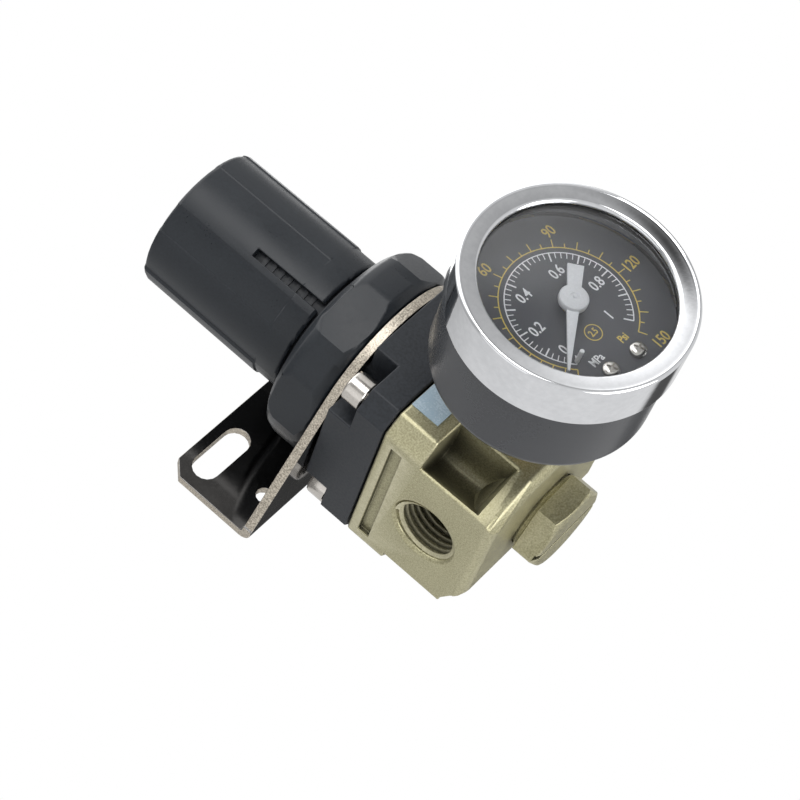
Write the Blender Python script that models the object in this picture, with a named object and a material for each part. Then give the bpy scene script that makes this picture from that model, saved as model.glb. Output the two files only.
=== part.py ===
"""Air pressure regulator with gauge, panel nut and wall bracket, as separate named pieces.

Design frame, in metres: +Z runs up the main axis towards the knob, X runs from the inlet port
to the outlet port, and the gauge faces -Y.  The origin of the design frame is the point where
the port axis crosses the main axis.  The root empty moves everything so that the world origin
is the middle of the bracket foot's back face.
"""

import math

import bmesh
import bpy
from mathutils import Matrix, Vector

MM = 0.001
TURN = 2 * math.pi
GAP = 0.3 * MM

# Body and ports
BODY_HALF = 20.0 * MM
BODY_CHAMFER = 3.4 * MM
FLANGE_TOP = 14.0 * MM
FLANGE_BOTTOM = 5.3 * MM
BLOCK_HALF = 14.9 * MM
BOSS_HALF = 9.8 * MM
CORE_BOTTOM = -7.6 * MM
BODY_BOTTOM = -11.8 * MM
PORT_BORE_R = 6.55 * MM
PORT_MOUTH_R = 7.1 * MM
PORT_DEPTH = 11.0 * MM
GAUGE_BORE_R = 4.9 * MM
GROOVE_Z = 10.55 * MM
GROOVE_HALF_LENGTH = 14.2 * MM

# Valve group
SEAT_R = 3.2 * MM
SEAT_Z = 1.6 * MM
PLUG_BORE_R = 8.0 * MM
HEX_FLATS = 17.0 * MM
HEX_TOP = -12.9 * MM
HEX_BOTTOM = -17.4 * MM
HEX_END = -18.0 * MM
HEX_CORNER_DEG = 53.3
SPRING_CUP_FLOOR = -14.6 * MM
POPPET_TOP = -0.4 * MM
POPPET_UNDER = -1.8 * MM

# Diaphragm group
DIAPHRAGM_R = 17.0 * MM
DIAPHRAGM_Z = 13.0 * MM
DIAPHRAGM_THICKNESS = 0.8 * MM
PLATE_TOP = 15.3 * MM

# Bonnet, bracket and panel nut
BONNET_BOTTOM = FLANGE_TOP + GAP
BONNET_TOP = 25.6 * MM
POCKET_FLOOR = 20.5 * MM
POCKET_X = 9.6 * MM
POCKET_Y = 10.8 * MM
SCREW_PLACE = 16.2 * MM
THREAD_R = 16.4 * MM
THREAD_TOP = 38.0 * MM
SHOULDER_R = 15.4 * MM
SHOULDER_TOP = 39.2 * MM
NECK_R = 12.4 * MM
NECK_TOP = 62.0 * MM
NECK_BORE_R = 9.9 * MM
BRACKET_THICKNESS = 1.9 * MM
BRACKET_BOTTOM = BONNET_TOP + GAP
BRACKET_TOP = BRACKET_BOTTOM + BRACKET_THICKNESS
BRACKET_RING_R = 19.8 * MM
FOOT_FRONT = 21.2 * MM
FOOT_BACK = FOOT_FRONT + BRACKET_THICKNESS
FOOT_HALF = 32.5 * MM
FOOT_TOP = 46.3 * MM
SLOT_Z = 41.5 * MM
SLOT_X = 23.0 * MM
SLOT_LENGTH = 13.8 * MM
SLOT_WIDTH = 5.4 * MM
PILOT_X = 23.7 * MM
PILOT_Z = 30.0 * MM
NUT_BOTTOM = BRACKET_TOP + GAP
NUT_TOP = 38.2 * MM
NUT_R = 20.9 * MM
NUT_FLATS = 40.0 * MM
NUT_FLAT_DEG = -110.6

# Setting spring, screw and knob
NUT_REST = 44.0 * MM
SCREW_R = 3.0 * MM
SCREW_FLANGE_TOP = 58.7 * MM
HEX_STUB_R = 4.0 * MM
HEX_STUB_TOP = 70.0 * MM
KNOB_BOTTOM = 40.0 * MM
KNOB_PANEL_Z = 45.0 * MM
KNOB_TOP = 73.4 * MM
KNOB_BORE_R = 12.8 * MM
KNOB_BASE_R = 14.6 * MM
KNOB_SLOT_DEG = -115.3
KNOB_SLOT_WIDTH = 1.8 * MM
KNOB_SLOT_TOP = 56.0 * MM

# Gauge, along its own axis outward from the port axis
CASE_BACK = 33.2 * MM
CASE_FRONT = 50.0 * MM
CASE_R = 20.0 * MM
CASE_BORE_R = 18.8 * MM
SOCKET_HOLE_R = 5.4 * MM
BEZEL_BACK = 49.2 * MM
BEZEL_FRONT = 58.9 * MM
BEZEL_R = 20.9 * MM
WINDOW_R = 17.1 * MM
DIAL_Z = 51.6 * MM
DIAL_R = 18.7 * MM
ARBOR_R = 0.55 * MM
GEAR_MODULE = 0.3 * MM
PINION_TEETH = 12
SECTOR_TEETH = 60
GEAR_SPREAD = 0.15 * MM
SECTOR_CENTRE = (0.0, -(PINION_TEETH + SECTOR_TEETH) * GEAR_MODULE / 2 - GEAR_SPREAD)
POINTER_REST_DEG = 215.0
POINTER_HUB_R = 2.6 * MM
STOP_PIN_R = 0.4 * MM
STOP_PIN_PLACE = (-7.5 * MM, -7.5 * MM)
DIAL_SCREW_PLACES = ((-4.7 * MM, -12.5 * MM), (1.9 * MM, -13.2 * MM))
TUBE_R = 14.5 * MM


def clear_scene():
    """Removes whatever the open scene holds."""
    for item in list(bpy.data.objects):
        bpy.data.objects.remove(item, do_unlink=True)


def finish(name, colour, roughness, metallic):
    """A Principled material with one colour."""
    made = bpy.data.materials.new(name)
    made.use_nodes = True
    shader = made.node_tree.nodes["Principled BSDF"]
    shader.inputs["Base Color"].default_value = (*colour, 1.0)
    shader.inputs["Roughness"].default_value = roughness
    shader.inputs["Metallic"].default_value = metallic
    return made


def make_finishes():
    """Every finish of the regulator by name."""
    return {
        "gold_paint": finish("gold_paint", (0.42, 0.39, 0.28), 0.45, 0.55),
        "black_plastic": finish("black_plastic", (0.022, 0.023, 0.025), 0.5, 0.0),
        "nickel": finish("nickel", (0.62, 0.58, 0.53), 0.28, 1.0),
        "chrome": finish("chrome", (0.80, 0.80, 0.80), 0.08, 1.0),
        "brass": finish("brass", (0.72, 0.55, 0.24), 0.3, 1.0),
        "steel": finish("steel", (0.55, 0.55, 0.56), 0.35, 1.0),
        "rubber": finish("rubber", (0.02, 0.02, 0.02), 0.8, 0.0),
        "dial_black": finish("dial_black", (0.012, 0.012, 0.014), 0.45, 0.0),
        "white_paint": finish("white_paint", (0.85, 0.85, 0.83), 0.4, 0.0),
        "clear_lens": finish("clear_lens", (0.9, 0.92, 0.93), 0.05, 0.0),
        "label_film": finish("label_film", (0.50, 0.60, 0.68), 0.35, 0.1),
    }


def frame_empty(name, location, rotation, parent):
    """An empty that carries pieces."""
    empty = bpy.data.objects.new(name, None)
    bpy.context.collection.objects.link(empty)
    empty.parent = parent
    empty.location = location
    empty.rotation_euler = rotation
    return empty


def piece(name, mesh_maker, material, parent, location=(0, 0, 0)):
    """Turns a bmesh into a named, smooth-shaded object whose origin is at location."""
    recentre = Matrix.Translation(-Vector(location))
    bmesh.ops.transform(mesh_maker, matrix=recentre, verts=mesh_maker.verts)
    mesh = bpy.data.meshes.new(name)
    mesh_maker.to_mesh(mesh)
    mesh_maker.free()
    mesh.materials.append(material)
    mesh.shade_smooth()
    mesh.set_sharp_from_angle(angle=math.radians(35))
    made = bpy.data.objects.new(name, mesh)
    bpy.context.collection.objects.link(made)
    made.parent = parent
    made.location = location
    return made


def boolean(target, tool_mesh, operation, parent):
    """Adds a Boolean modifier whose hidden tool is built from a bmesh."""
    number = len(target.modifiers)
    mesh = bpy.data.meshes.new(f"{target.name}_tool_{number}")
    tool_mesh.to_mesh(mesh)
    tool_mesh.free()
    tool = bpy.data.objects.new(mesh.name, mesh)
    bpy.context.collection.objects.link(tool)
    tool.parent = parent
    tool.hide_render = True
    tool.display_type = "WIRE"
    modifier = target.modifiers.new(f"{operation.lower()}_{number}", "BOOLEAN")
    modifier.operation = operation
    modifier.object = tool
    modifier.solver = "EXACT"


def lathe(profile, segments):
    """Turns (radius, height) points round Z; a profile clear of the axis becomes a ring."""
    mesh = bmesh.new()
    verts = [mesh.verts.new((radius, 0, height)) for radius, height in profile]
    edges = [mesh.edges.new(pair) for pair in zip(verts, verts[1:])]
    if profile[0][0] > 0:
        edges.append(mesh.edges.new((verts[-1], verts[0])))
    bmesh.ops.spin(
        mesh, geom=verts + edges, cent=(0, 0, 0), axis=(0, 0, 1),
        angle=TURN, steps=segments, use_merge=True, use_duplicate=False,
    )
    bmesh.ops.remove_doubles(mesh, verts=mesh.verts, dist=0.001 * MM)
    bmesh.ops.recalc_face_normals(mesh, faces=mesh.faces)
    return mesh


def prism(outline, low, high):
    """Extrudes a closed outline in XY from low to high along Z."""
    mesh = bmesh.new()
    base = mesh.faces.new([mesh.verts.new((x, y, low)) for x, y in outline])
    grown = bmesh.ops.extrude_face_region(mesh, geom=[base])["geom"]
    moved = [item for item in grown if isinstance(item, bmesh.types.BMVert)]
    bmesh.ops.translate(mesh, verts=moved, vec=(0, 0, high - low))
    bmesh.ops.recalc_face_normals(mesh, faces=mesh.faces)
    return mesh


def stack(levels):
    """Joins outlines of equal length at rising heights into one solid."""
    mesh = bmesh.new()
    rings = [[mesh.verts.new((x, y, z)) for x, y in outline] for outline, z in levels]
    mesh.faces.new(rings[0])
    mesh.faces.new(rings[-1])
    for low, high in zip(rings, rings[1:]):
        for index in range(len(low)):
            after = (index + 1) % len(low)
            mesh.faces.new((low[index], low[after], high[after], high[index]))
    bmesh.ops.recalc_face_normals(mesh, faces=mesh.faces)
    return mesh


def arc(centre, radius, start_deg, end_deg, steps):
    """Points on an arc, both ends included."""
    angles = [math.radians(start_deg + (end_deg - start_deg) * i / steps) for i in range(steps + 1)]
    return [(centre[0] + radius * math.cos(a), centre[1] + radius * math.sin(a)) for a in angles]


def polygon(sides, radius, first_deg=0.0):
    """Corners of a regular polygon."""
    return arc((0, 0), radius, first_deg, first_deg + 360 * (sides - 1) / sides, sides - 1)


def box_outline(x_low, x_high, y_low, y_high):
    """Corners of a rectangle, anticlockwise."""
    return [(x_low, y_low), (x_high, y_low), (x_high, y_high), (x_low, y_high)]


def octagon(half, chamfer):
    """A square with 45 degree corners."""
    inner = half - chamfer
    return [
        (inner, -half), (half, -inner), (half, inner), (inner, half),
        (-inner, half), (-half, inner), (-half, -inner), (-inner, -half),
    ]


def rod(radius, low, high, segments):
    """A plain cylinder along Z, used as a cutter or joined to a piece."""
    return prism(polygon(segments, radius), low, high)


def turned_to(mesh, direction, at=(0, 0, 0)):
    """Turns a bmesh so that its +Z points along direction, then moves it."""
    turn = Vector((0, 0, 1)).rotation_difference(Vector(direction)).to_matrix().to_4x4()
    bmesh.ops.transform(mesh, matrix=Matrix.Translation(at) @ turn, verts=mesh.verts)
    return mesh


def coil(name, radius, wire, low, high, turns, steps, material, parent):
    """A helical spring as a bevelled curve."""
    curve = bpy.data.curves.new(name, "CURVE")
    curve.dimensions = "3D"
    curve.bevel_depth = wire
    curve.bevel_resolution = 1
    curve.use_fill_caps = True
    spline = curve.splines.new("POLY")
    count = int(turns * steps) + 1
    spline.points.add(count - 1)
    for index, point in enumerate(spline.points):
        angle = TURN * turns * index / (count - 1)
        height = low + (high - low) * index / (count - 1)
        point.co = (radius * math.cos(angle), radius * math.sin(angle), height, 1)
    curve.materials.append(material)
    made = bpy.data.objects.new(name, curve)
    bpy.context.collection.objects.link(made)
    made.parent = parent
    return made


def hollow_curve(start, handle_a, handle_b, end, steps):
    """Points along a cubic curve between two corners."""
    points = []
    for index in range(steps + 1):
        t = index / steps
        weights = ((1 - t) ** 3, 3 * t * (1 - t) ** 2, 3 * t * t * (1 - t), t ** 3)
        corners = (start, handle_a, handle_b, end)
        points.append(tuple(sum(w * c[k] for w, c in zip(weights, corners)) for k in (0, 1)))
    return points


def core_outline():
    """The cast body between its flanges: port faces, hollows and the two gauge bosses."""
    quarter = [(-BODY_HALF, -BLOCK_HALF)]
    quarter += hollow_curve(
        (-19.4 * MM, -15.2 * MM), (-15.5 * MM, -10.0 * MM),
        (-10.6 * MM, -8.2 * MM), (-BOSS_HALF, -15.5 * MM), 12,
    )
    quarter += [(-BOSS_HALF, -BODY_HALF)]
    front = quarter + [(-x, y) for x, y in reversed(quarter)]
    return front + [(x, -y) for x, y in reversed(front)]


def make_body(finishes, root):
    """Cast body with ports, valve chamber, diaphragm recess and screw holes."""
    body = piece("body", prism(octagon(BODY_HALF, BODY_CHAMFER), FLANGE_BOTTOM, FLANGE_TOP),
                 finishes["gold_paint"], root)
    boolean(body, prism(core_outline(), CORE_BOTTOM - GAP, FLANGE_BOTTOM + GAP), "UNION", root)
    boolean(body, body_base(), "UNION", root)
    cavity = [
        (0, 15 * MM), (DIAPHRAGM_R + GAP, 15 * MM), (DIAPHRAGM_R + GAP, DIAPHRAGM_Z - GAP),
        (12.5 * MM, DIAPHRAGM_Z - GAP), (12.5 * MM, 10.6 * MM), (5 * MM, 10 * MM),
        (5 * MM, 3.4 * MM), (SEAT_R, 3.4 * MM), (SEAT_R, SEAT_Z), (6.4 * MM, SEAT_Z),
        (6.4 * MM, -6.6 * MM), (PLUG_BORE_R, -6.6 * MM), (PLUG_BORE_R, -13 * MM), (0, -13 * MM),
    ]
    boolean(body, lathe(cavity, 32), "DIFFERENCE", root)
    for side in (-1, 1):
        boolean(body, port_cutter(side), "DIFFERENCE", root)
        groove = prism(box_outline(-1.2 * MM, 1.2 * MM, -GROOVE_HALF_LENGTH, GROOVE_HALF_LENGTH),
                       0, 2 * MM)
        turned_to(groove, (side, 0, 0), (side * (BODY_HALF - 1.0 * MM), 0, GROOVE_Z))
        boolean(body, groove, "DIFFERENCE", root)
        gauge_bore = rod(GAUGE_BORE_R, 12 * MM, 21 * MM, 24)
        boolean(body, turned_to(gauge_bore, (0, side, 0)), "DIFFERENCE", root)
    inlet = turned_to(rod(2.6 * MM, 3 * MM, 10 * MM, 12), (-1, 0, 0), (0, 0, -2.6 * MM))
    outlet = turned_to(rod(1.1 * MM, 3 * MM, 10.5 * MM, 8), (1, 0, 0), (0, 0, 4.6 * MM))
    sense = turned_to(rod(0.8 * MM, 3 * MM, 13 * MM, 8), (0, -1, 0), (0, 0, 4.1 * MM))
    for passage in (inlet, outlet, sense):
        boolean(body, passage, "DIFFERENCE", root)
    for x, y in screw_places():
        hole = rod(1.8 * MM, 7 * MM, 15 * MM, 12)
        bmesh.ops.translate(hole, verts=hole.verts, vec=(x, y, 0))
        boolean(body, hole, "DIFFERENCE", root)


def body_base():
    """Bottom flange: cut back behind, chamfered below, and swept up into the side hollows."""
    def level(half, front_corner, front, back):
        return [
            (-half, -front_corner), (-BOSS_HALF, -front), (BOSS_HALF, -front),
            (half, -front_corner), (half, back), (-half, back),
        ]
    return stack([
        (level(18.4 * MM, 12.6 * MM, 18.2 * MM, 8.6 * MM), BODY_BOTTOM),
        (level(20.0 * MM, 14.2 * MM, 20.0 * MM, 9.7 * MM), -10.7 * MM),
        (level(20.0 * MM, 14.9 * MM, 20.0 * MM, 10.9 * MM), -9.7 * MM),
        (level(20.0 * MM, 14.9 * MM, 20.0 * MM, 14.6 * MM), CORE_BOTTOM),
        (level(19.95 * MM, 12.6 * MM, 15.6 * MM, 12.4 * MM), CORE_BOTTOM + 1.2 * MM),
        (level(19.9 * MM, 10.2 * MM, 10.2 * MM, 10.2 * MM), CORE_BOTTOM + 4.6 * MM),
    ])


def port_cutter(side):
    """Threaded port as a plain bore with a chamfered mouth."""
    face = BODY_HALF
    profile = [
        (0, face + 1 * MM), (PORT_MOUTH_R + 1 * MM, face + 1 * MM), (PORT_MOUTH_R, face),
        (PORT_BORE_R, face - 0.6 * MM), (PORT_BORE_R, face - PORT_DEPTH), (0, face - PORT_DEPTH),
    ]
    return turned_to(lathe(profile, 32), (side, 0, 0))


def screw_places():
    """The four bonnet screw centres."""
    return [(x * SCREW_PLACE, y * SCREW_PLACE) for x in (-1, 1) for y in (-1, 1)]


def make_valve(finishes, root):
    """Hex plug, its O-ring, the return spring, the poppet and its rubber seat."""
    hex_r = HEX_FLATS / 2 / math.cos(math.pi / 6)
    plug = piece("valve_plug", prism(polygon(6, hex_r, HEX_CORNER_DEG), HEX_END, HEX_TOP),
                 finishes["gold_paint"], root)
    turned_limit = [
        (0, HEX_END), (8.0 * MM, HEX_END), (hex_r + GAP, HEX_BOTTOM + 0.4 * MM),
        (hex_r + GAP, HEX_TOP + 1 * MM), (0, HEX_TOP + 1 * MM),
    ]
    boolean(plug, lathe(turned_limit, 32), "INTERSECT", root)
    shank = [
        (0, HEX_TOP - 1 * MM), (8.2 * MM, HEX_TOP - 1 * MM), (8.2 * MM, BODY_BOTTOM - GAP),
        (7.7 * MM, BODY_BOTTOM - GAP), (7.7 * MM, -11.0 * MM), (6.4 * MM, -11.0 * MM),
        (6.4 * MM, -9.4 * MM), (7.7 * MM, -9.4 * MM), (7.7 * MM, -7.0 * MM), (0, -7.0 * MM),
    ]
    boolean(plug, lathe(shank, 32), "UNION", root)
    boolean(plug, rod(4.3 * MM, SPRING_CUP_FLOOR, -6 * MM, 24), "DIFFERENCE", root)
    ring = [(7.2 * MM + x, -10.2 * MM + z) for x, z in polygon(8, 0.5 * MM)]
    piece("plug_o_ring", lathe(ring, 24), finishes["rubber"], root)
    coil("valve_spring", 3.2 * MM, 0.4 * MM, SPRING_CUP_FLOOR + 0.7 * MM,
         POPPET_UNDER - 0.7 * MM, 5.5, 12, finishes["steel"], root)
    poppet = [
        (0, -8.8 * MM), (2.0 * MM, -8.8 * MM), (2.0 * MM, POPPET_UNDER),
        (4.5 * MM, POPPET_UNDER), (4.5 * MM, POPPET_TOP), (1.2 * MM, POPPET_TOP),
        (1.2 * MM, 10.7 * MM), (0, 10.7 * MM),
    ]
    piece("valve_poppet", lathe(poppet, 16), finishes["brass"], root, (0, 0, POPPET_UNDER))
    seal = [
        (1.5 * MM, -0.1 * MM), (4.4 * MM, -0.1 * MM), (4.4 * MM, SEAT_Z - GAP),
        (1.5 * MM, SEAT_Z - GAP),
    ]
    piece("valve_seal", lathe(seal, 20), finishes["rubber"], root, (0, 0, SEAT_Z - GAP))


def make_diaphragm(finishes, root):
    """Rolling diaphragm, its vented hub below and the spring plate above."""
    low = DIAPHRAGM_Z
    high = DIAPHRAGM_Z + DIAPHRAGM_THICKNESS
    lower_side = [
        (3.3, 0), (9.6, 0), (10.4, 1.0), (12.0, 1.6), (13.6, 1.0), (14.4, 0), (DIAPHRAGM_R / MM, 0),
    ]
    upper_side = [
        (DIAPHRAGM_R / MM, 0), (14.8, 0), (13.9, 1.0), (12.0, 1.7), (10.1, 1.0), (9.2, 0), (3.3, 0),
    ]
    section = [(r * MM, low + z * MM) for r, z in lower_side]
    section += [(r * MM, high + z * MM) for r, z in upper_side]
    piece("diaphragm", lathe(section, 32), finishes["rubber"], root)
    hub = [
        (0.8, 11.0), (4.2, 11.0), (4.6, 11.4), (4.6, 12.7), (3.0, 12.7), (3.0, 17.2), (0.8, 17.2),
    ]
    piece("diaphragm_hub", lathe([(r * MM, z * MM) for r, z in hub], 20), finishes["brass"],
          root, (0, 0, DIAPHRAGM_Z))
    plate = [
        (3.3, 14.1), (8.6, 14.1), (8.9, 14.4), (8.9, 15.3), (5.4, 15.3), (5.4, 16.6), (3.3, 16.6),
    ]
    piece("diaphragm_plate", lathe([(r * MM, z * MM) for r, z in plate], 24), finishes["steel"],
          root, (0, 0, DIAPHRAGM_Z))


def make_bonnet(finishes, root):
    """Square bonnet with corner pockets, threaded collar and the neck under the knob."""
    bonnet = piece("bonnet", prism(octagon(BODY_HALF, BODY_CHAMFER), BONNET_BOTTOM, BONNET_TOP),
                   finishes["black_plastic"], root)
    neck = [
        (0, BONNET_TOP - 2 * MM), (THREAD_R, BONNET_TOP - 2 * MM), (THREAD_R, THREAD_TOP),
        (SHOULDER_R, THREAD_TOP), (SHOULDER_R, SHOULDER_TOP), (NECK_R, SHOULDER_TOP),
        (NECK_R, NECK_TOP - 0.6 * MM), (NECK_R - 0.6 * MM, NECK_TOP), (0, NECK_TOP),
    ]
    boolean(bonnet, lathe(neck, 48), "UNION", root)
    for x, y in screw_places():
        reach = BODY_HALF + 1 * MM
        outline = box_outline(
            min(math.copysign(POCKET_X, x), math.copysign(reach, x)),
            max(math.copysign(POCKET_X, x), math.copysign(reach, x)),
            min(math.copysign(POCKET_Y, y), math.copysign(reach, y)),
            max(math.copysign(POCKET_Y, y), math.copysign(reach, y)),
        )
        pocket = prism(outline, POCKET_FLOOR, BONNET_TOP + 1 * MM)
        boolean(bonnet, pocket, "DIFFERENCE", root)
        hole = rod(1.8 * MM, BONNET_BOTTOM - 1 * MM, POCKET_FLOOR + 1 * MM, 12)
        bmesh.ops.translate(hole, verts=hole.verts, vec=(x, y, 0))
        boolean(bonnet, hole, "DIFFERENCE", root)
    bore = [
        (0, BONNET_BOTTOM - 1 * MM), (15.2 * MM, BONNET_BOTTOM - 1 * MM), (15.2 * MM, 16.6 * MM),
        (NECK_BORE_R, 21 * MM), (NECK_BORE_R, SCREW_FLANGE_TOP + GAP),
        (HEX_STUB_R + 0.5 * MM, SCREW_FLANGE_TOP + GAP), (HEX_STUB_R + 0.5 * MM, NECK_TOP + 1 * MM),
        (0, NECK_TOP + 1 * MM),
    ]
    boolean(bonnet, lathe(bore, 32), "DIFFERENCE", root)
    for side in (-1, 1):
        ends = sorted((side * 8 * MM, side * 11 * MM))
        key = prism(box_outline(ends[0], ends[1], -1.6 * MM, 1.6 * MM), 22 * MM, 58 * MM)
        boolean(bonnet, key, "DIFFERENCE", root)


def make_bonnet_screws(finishes, root):
    """Four pan-head screws that hold the bonnet to the body."""
    head = POCKET_FLOOR + GAP
    section = [
        (0, 7.4 * MM), (1.5 * MM, 7.4 * MM), (1.5 * MM, head), (2.9 * MM, head),
        (2.9 * MM, head + 2.9 * MM), (2.5 * MM, head + 3.7 * MM), (1.6 * MM, head + 4.0 * MM),
        (1.2 * MM, head + 2.6 * MM), (0, head + 2.2 * MM),
    ]
    for number, (x, y) in enumerate(screw_places(), start=1):
        screw = lathe(section, 16)
        bmesh.ops.translate(screw, verts=screw.verts, vec=(x, y, 0))
        piece(f"bonnet_screw_{number}", screw, finishes["nickel"], root, (x, y, head))


def make_panel_nut(finishes, root):
    """Round nut with six flats that clamps the bracket on the bonnet."""
    section = [
        (THREAD_R + GAP, NUT_BOTTOM), (19.7 * MM, NUT_BOTTOM), (NUT_R, 29.8 * MM),
        (NUT_R, 35.0 * MM), (20.3 * MM, 36.9 * MM), (18.4 * MM, NUT_TOP),
        (THREAD_R + GAP, NUT_TOP),
    ]
    nut = piece("panel_nut", lathe(section, 48), finishes["black_plastic"], root)
    corner = NUT_FLATS / 2 / math.cos(math.pi / 6)
    flats = prism(polygon(6, corner, NUT_FLAT_DEG + 30), NUT_BOTTOM - 1 * MM, NUT_TOP + 1 * MM)
    boolean(nut, flats, "INTERSECT", root)


def make_bracket(finishes, root):
    """Nickel-plated steel plate with a round end, bent up into a slotted foot."""
    bend_y = FOOT_FRONT - 0.5 * MM
    flare = FOOT_HALF - 17.6 * MM
    tangent = math.degrees(math.atan2(flare, 28.5 * MM))
    outline = arc((0, 0), BRACKET_RING_R, 180 + tangent, 360 - tangent, 20)
    outline += [(FOOT_HALF, bend_y), (-FOOT_HALF, bend_y)]
    bracket = piece("bracket", prism(outline, BRACKET_BOTTOM, BRACKET_TOP), finishes["nickel"], root)
    outer = BRACKET_THICKNESS + 0.5 * MM
    centre = (bend_y, BRACKET_TOP + 0.5 * MM)
    section = [(bend_y - 1 * MM, BRACKET_TOP), (bend_y - 1 * MM, BRACKET_BOTTOM)]
    section += arc(centre, outer, -90, 0, 5)
    section += [(FOOT_BACK, FOOT_TOP), (FOOT_FRONT, FOOT_TOP)]
    section += arc(centre, 0.5 * MM, 0, -90, 3)
    foot = prism(section, -FOOT_HALF, FOOT_HALF)
    to_yz = Matrix(((0, 0, 1, 0), (1, 0, 0, 0), (0, 1, 0, 0), (0, 0, 0, 1)))
    bmesh.ops.transform(foot, matrix=to_yz, verts=foot.verts)
    boolean(bracket, foot, "UNION", root)
    boolean(bracket, rod(THREAD_R + GAP, BRACKET_BOTTOM - 1 * MM, BRACKET_TOP + 1 * MM, 48),
            "DIFFERENCE", root)
    for side in (-1, 1):
        half = SLOT_LENGTH / 2 - SLOT_WIDTH / 2
        ends = arc((half, 0), SLOT_WIDTH / 2, -90, 90, 8)
        ends += arc((-half, 0), SLOT_WIDTH / 2, 90, 270, 8)
        slot = prism(ends, 0, 4 * MM)
        turned_to(slot, (0, 1, 0), (side * SLOT_X, FOOT_FRONT - 1 * MM, SLOT_Z))
        boolean(bracket, slot, "DIFFERENCE", root)
        pilot = turned_to(rod(1.6 * MM, 0, 4 * MM, 12), (0, 1, 0),
                          (side * PILOT_X, FOOT_FRONT - 1 * MM, PILOT_Z))
        boolean(bracket, pilot, "DIFFERENCE", root)
        corner = prism(box_outline(-2 * MM, 2 * MM, -2 * MM, 2 * MM), 0, 4 * MM)
        spin = Matrix.Rotation(math.radians(45), 4, "Z")
        bmesh.ops.transform(corner, matrix=spin, verts=corner.verts)
        turned_to(corner, (0, 1, 0), (side * FOOT_HALF, FOOT_FRONT - 1 * MM, FOOT_TOP))
        boolean(bracket, corner, "DIFFERENCE", root)


def make_setting_group(finishes, root):
    """Main spring, sliding nut with two keys, and the screw that drives it."""
    coil("main_spring", 7.2 * MM, 1.1 * MM, PLATE_TOP + 1.4 * MM, NUT_REST - 1.4 * MM,
         6.5, 16, finishes["steel"], root)
    nut_section = [
        (SCREW_R + GAP, 42.6 * MM), (5.6 * MM, 42.6 * MM), (5.6 * MM, NUT_REST),
        (NECK_BORE_R - GAP, NUT_REST), (NECK_BORE_R - GAP, 50 * MM), (SCREW_R + GAP, 50 * MM),
    ]
    nut = piece("adjusting_nut", lathe(nut_section, 24), finishes["brass"], root, (0, 0, NUT_REST))
    for side in (-1, 1):
        ends = sorted((side * 8.6 * MM, side * 10.7 * MM))
        key = prism(box_outline(ends[0], ends[1], -1.3 * MM, 1.3 * MM), NUT_REST, 50 * MM)
        boolean(nut, key, "UNION", root)
    screw_section = [
        (0, 34 * MM), (SCREW_R - 0.5 * MM, 34 * MM), (SCREW_R, 34.5 * MM), (SCREW_R, 57 * MM),
        (7.5 * MM, 57 * MM), (7.5 * MM, SCREW_FLANGE_TOP), (0, SCREW_FLANGE_TOP),
    ]
    screw = piece("adjusting_screw", lathe(screw_section, 24), finishes["steel"], root,
                  (0, 0, SCREW_FLANGE_TOP))
    boolean(screw, prism(polygon(6, HEX_STUB_R), 58 * MM, HEX_STUB_TOP), "UNION", root)


def knob_outline(radius, relief):
    """Outline of the grip: five raised or plain zones, repeated on the other half."""
    zones = [(36.5, 0.1), (43.5, -0.1), (24.0, -0.3), (42.0, -0.1), (34.0, 0.35)]
    points = []
    angle = -45.0
    for _ in range(2):
        for width, rise in zones:
            steps = max(2, round(width / 8))
            zone_r = radius + relief * rise * MM
            points += arc((0, 0), zone_r, angle - 0.5, angle - width + 0.5, steps)
            angle -= width
    return points


def make_knob(finishes, root):
    """Push-to-lock knob: a cup over the neck with an inner hex socket and one wall slot."""
    levels = [
        (KNOB_BASE_R - 0.3 * MM, 0, KNOB_BOTTOM),
        (KNOB_BASE_R, 0, KNOB_BOTTOM + 0.5 * MM),
        (KNOB_BASE_R, 0, KNOB_PANEL_Z),
        (KNOB_BASE_R, 1, KNOB_PANEL_Z + 0.3 * MM),
        (KNOB_BASE_R - 0.1 * MM, 1, KNOB_TOP - 1.0 * MM),
        (KNOB_BASE_R - 0.4 * MM, 1, KNOB_TOP - 0.3 * MM),
        (KNOB_BASE_R - 1.1 * MM, 1, KNOB_TOP),
    ]
    outside = stack([(knob_outline(radius, relief), height) for radius, relief, height in levels])
    knob = piece("knob", outside, finishes["black_plastic"], root, (0, 0, KNOB_BOTTOM))
    hollow = [
        (0, KNOB_BOTTOM - 1 * MM), (KNOB_BORE_R, KNOB_BOTTOM - 1 * MM), (KNOB_BORE_R, 70.5 * MM),
        (7 * MM, 70.5 * MM), (7 * MM, 63.2 * MM), (0, 63.2 * MM),
    ]
    boolean(knob, lathe(hollow, 32), "DIFFERENCE", root)
    boolean(knob, prism(polygon(6, HEX_STUB_R + 0.4 * MM), 62 * MM, 71 * MM), "DIFFERENCE", root)
    half = KNOB_SLOT_WIDTH / 2
    slot = prism(box_outline(10 * MM, 17 * MM, -half, half), KNOB_BOTTOM - 1 * MM, KNOB_SLOT_TOP)
    spin = Matrix.Rotation(math.radians(KNOB_SLOT_DEG), 4, "Z")
    bmesh.ops.transform(slot, matrix=spin, verts=slot.verts)
    boolean(knob, slot, "DIFFERENCE", root)


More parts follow.
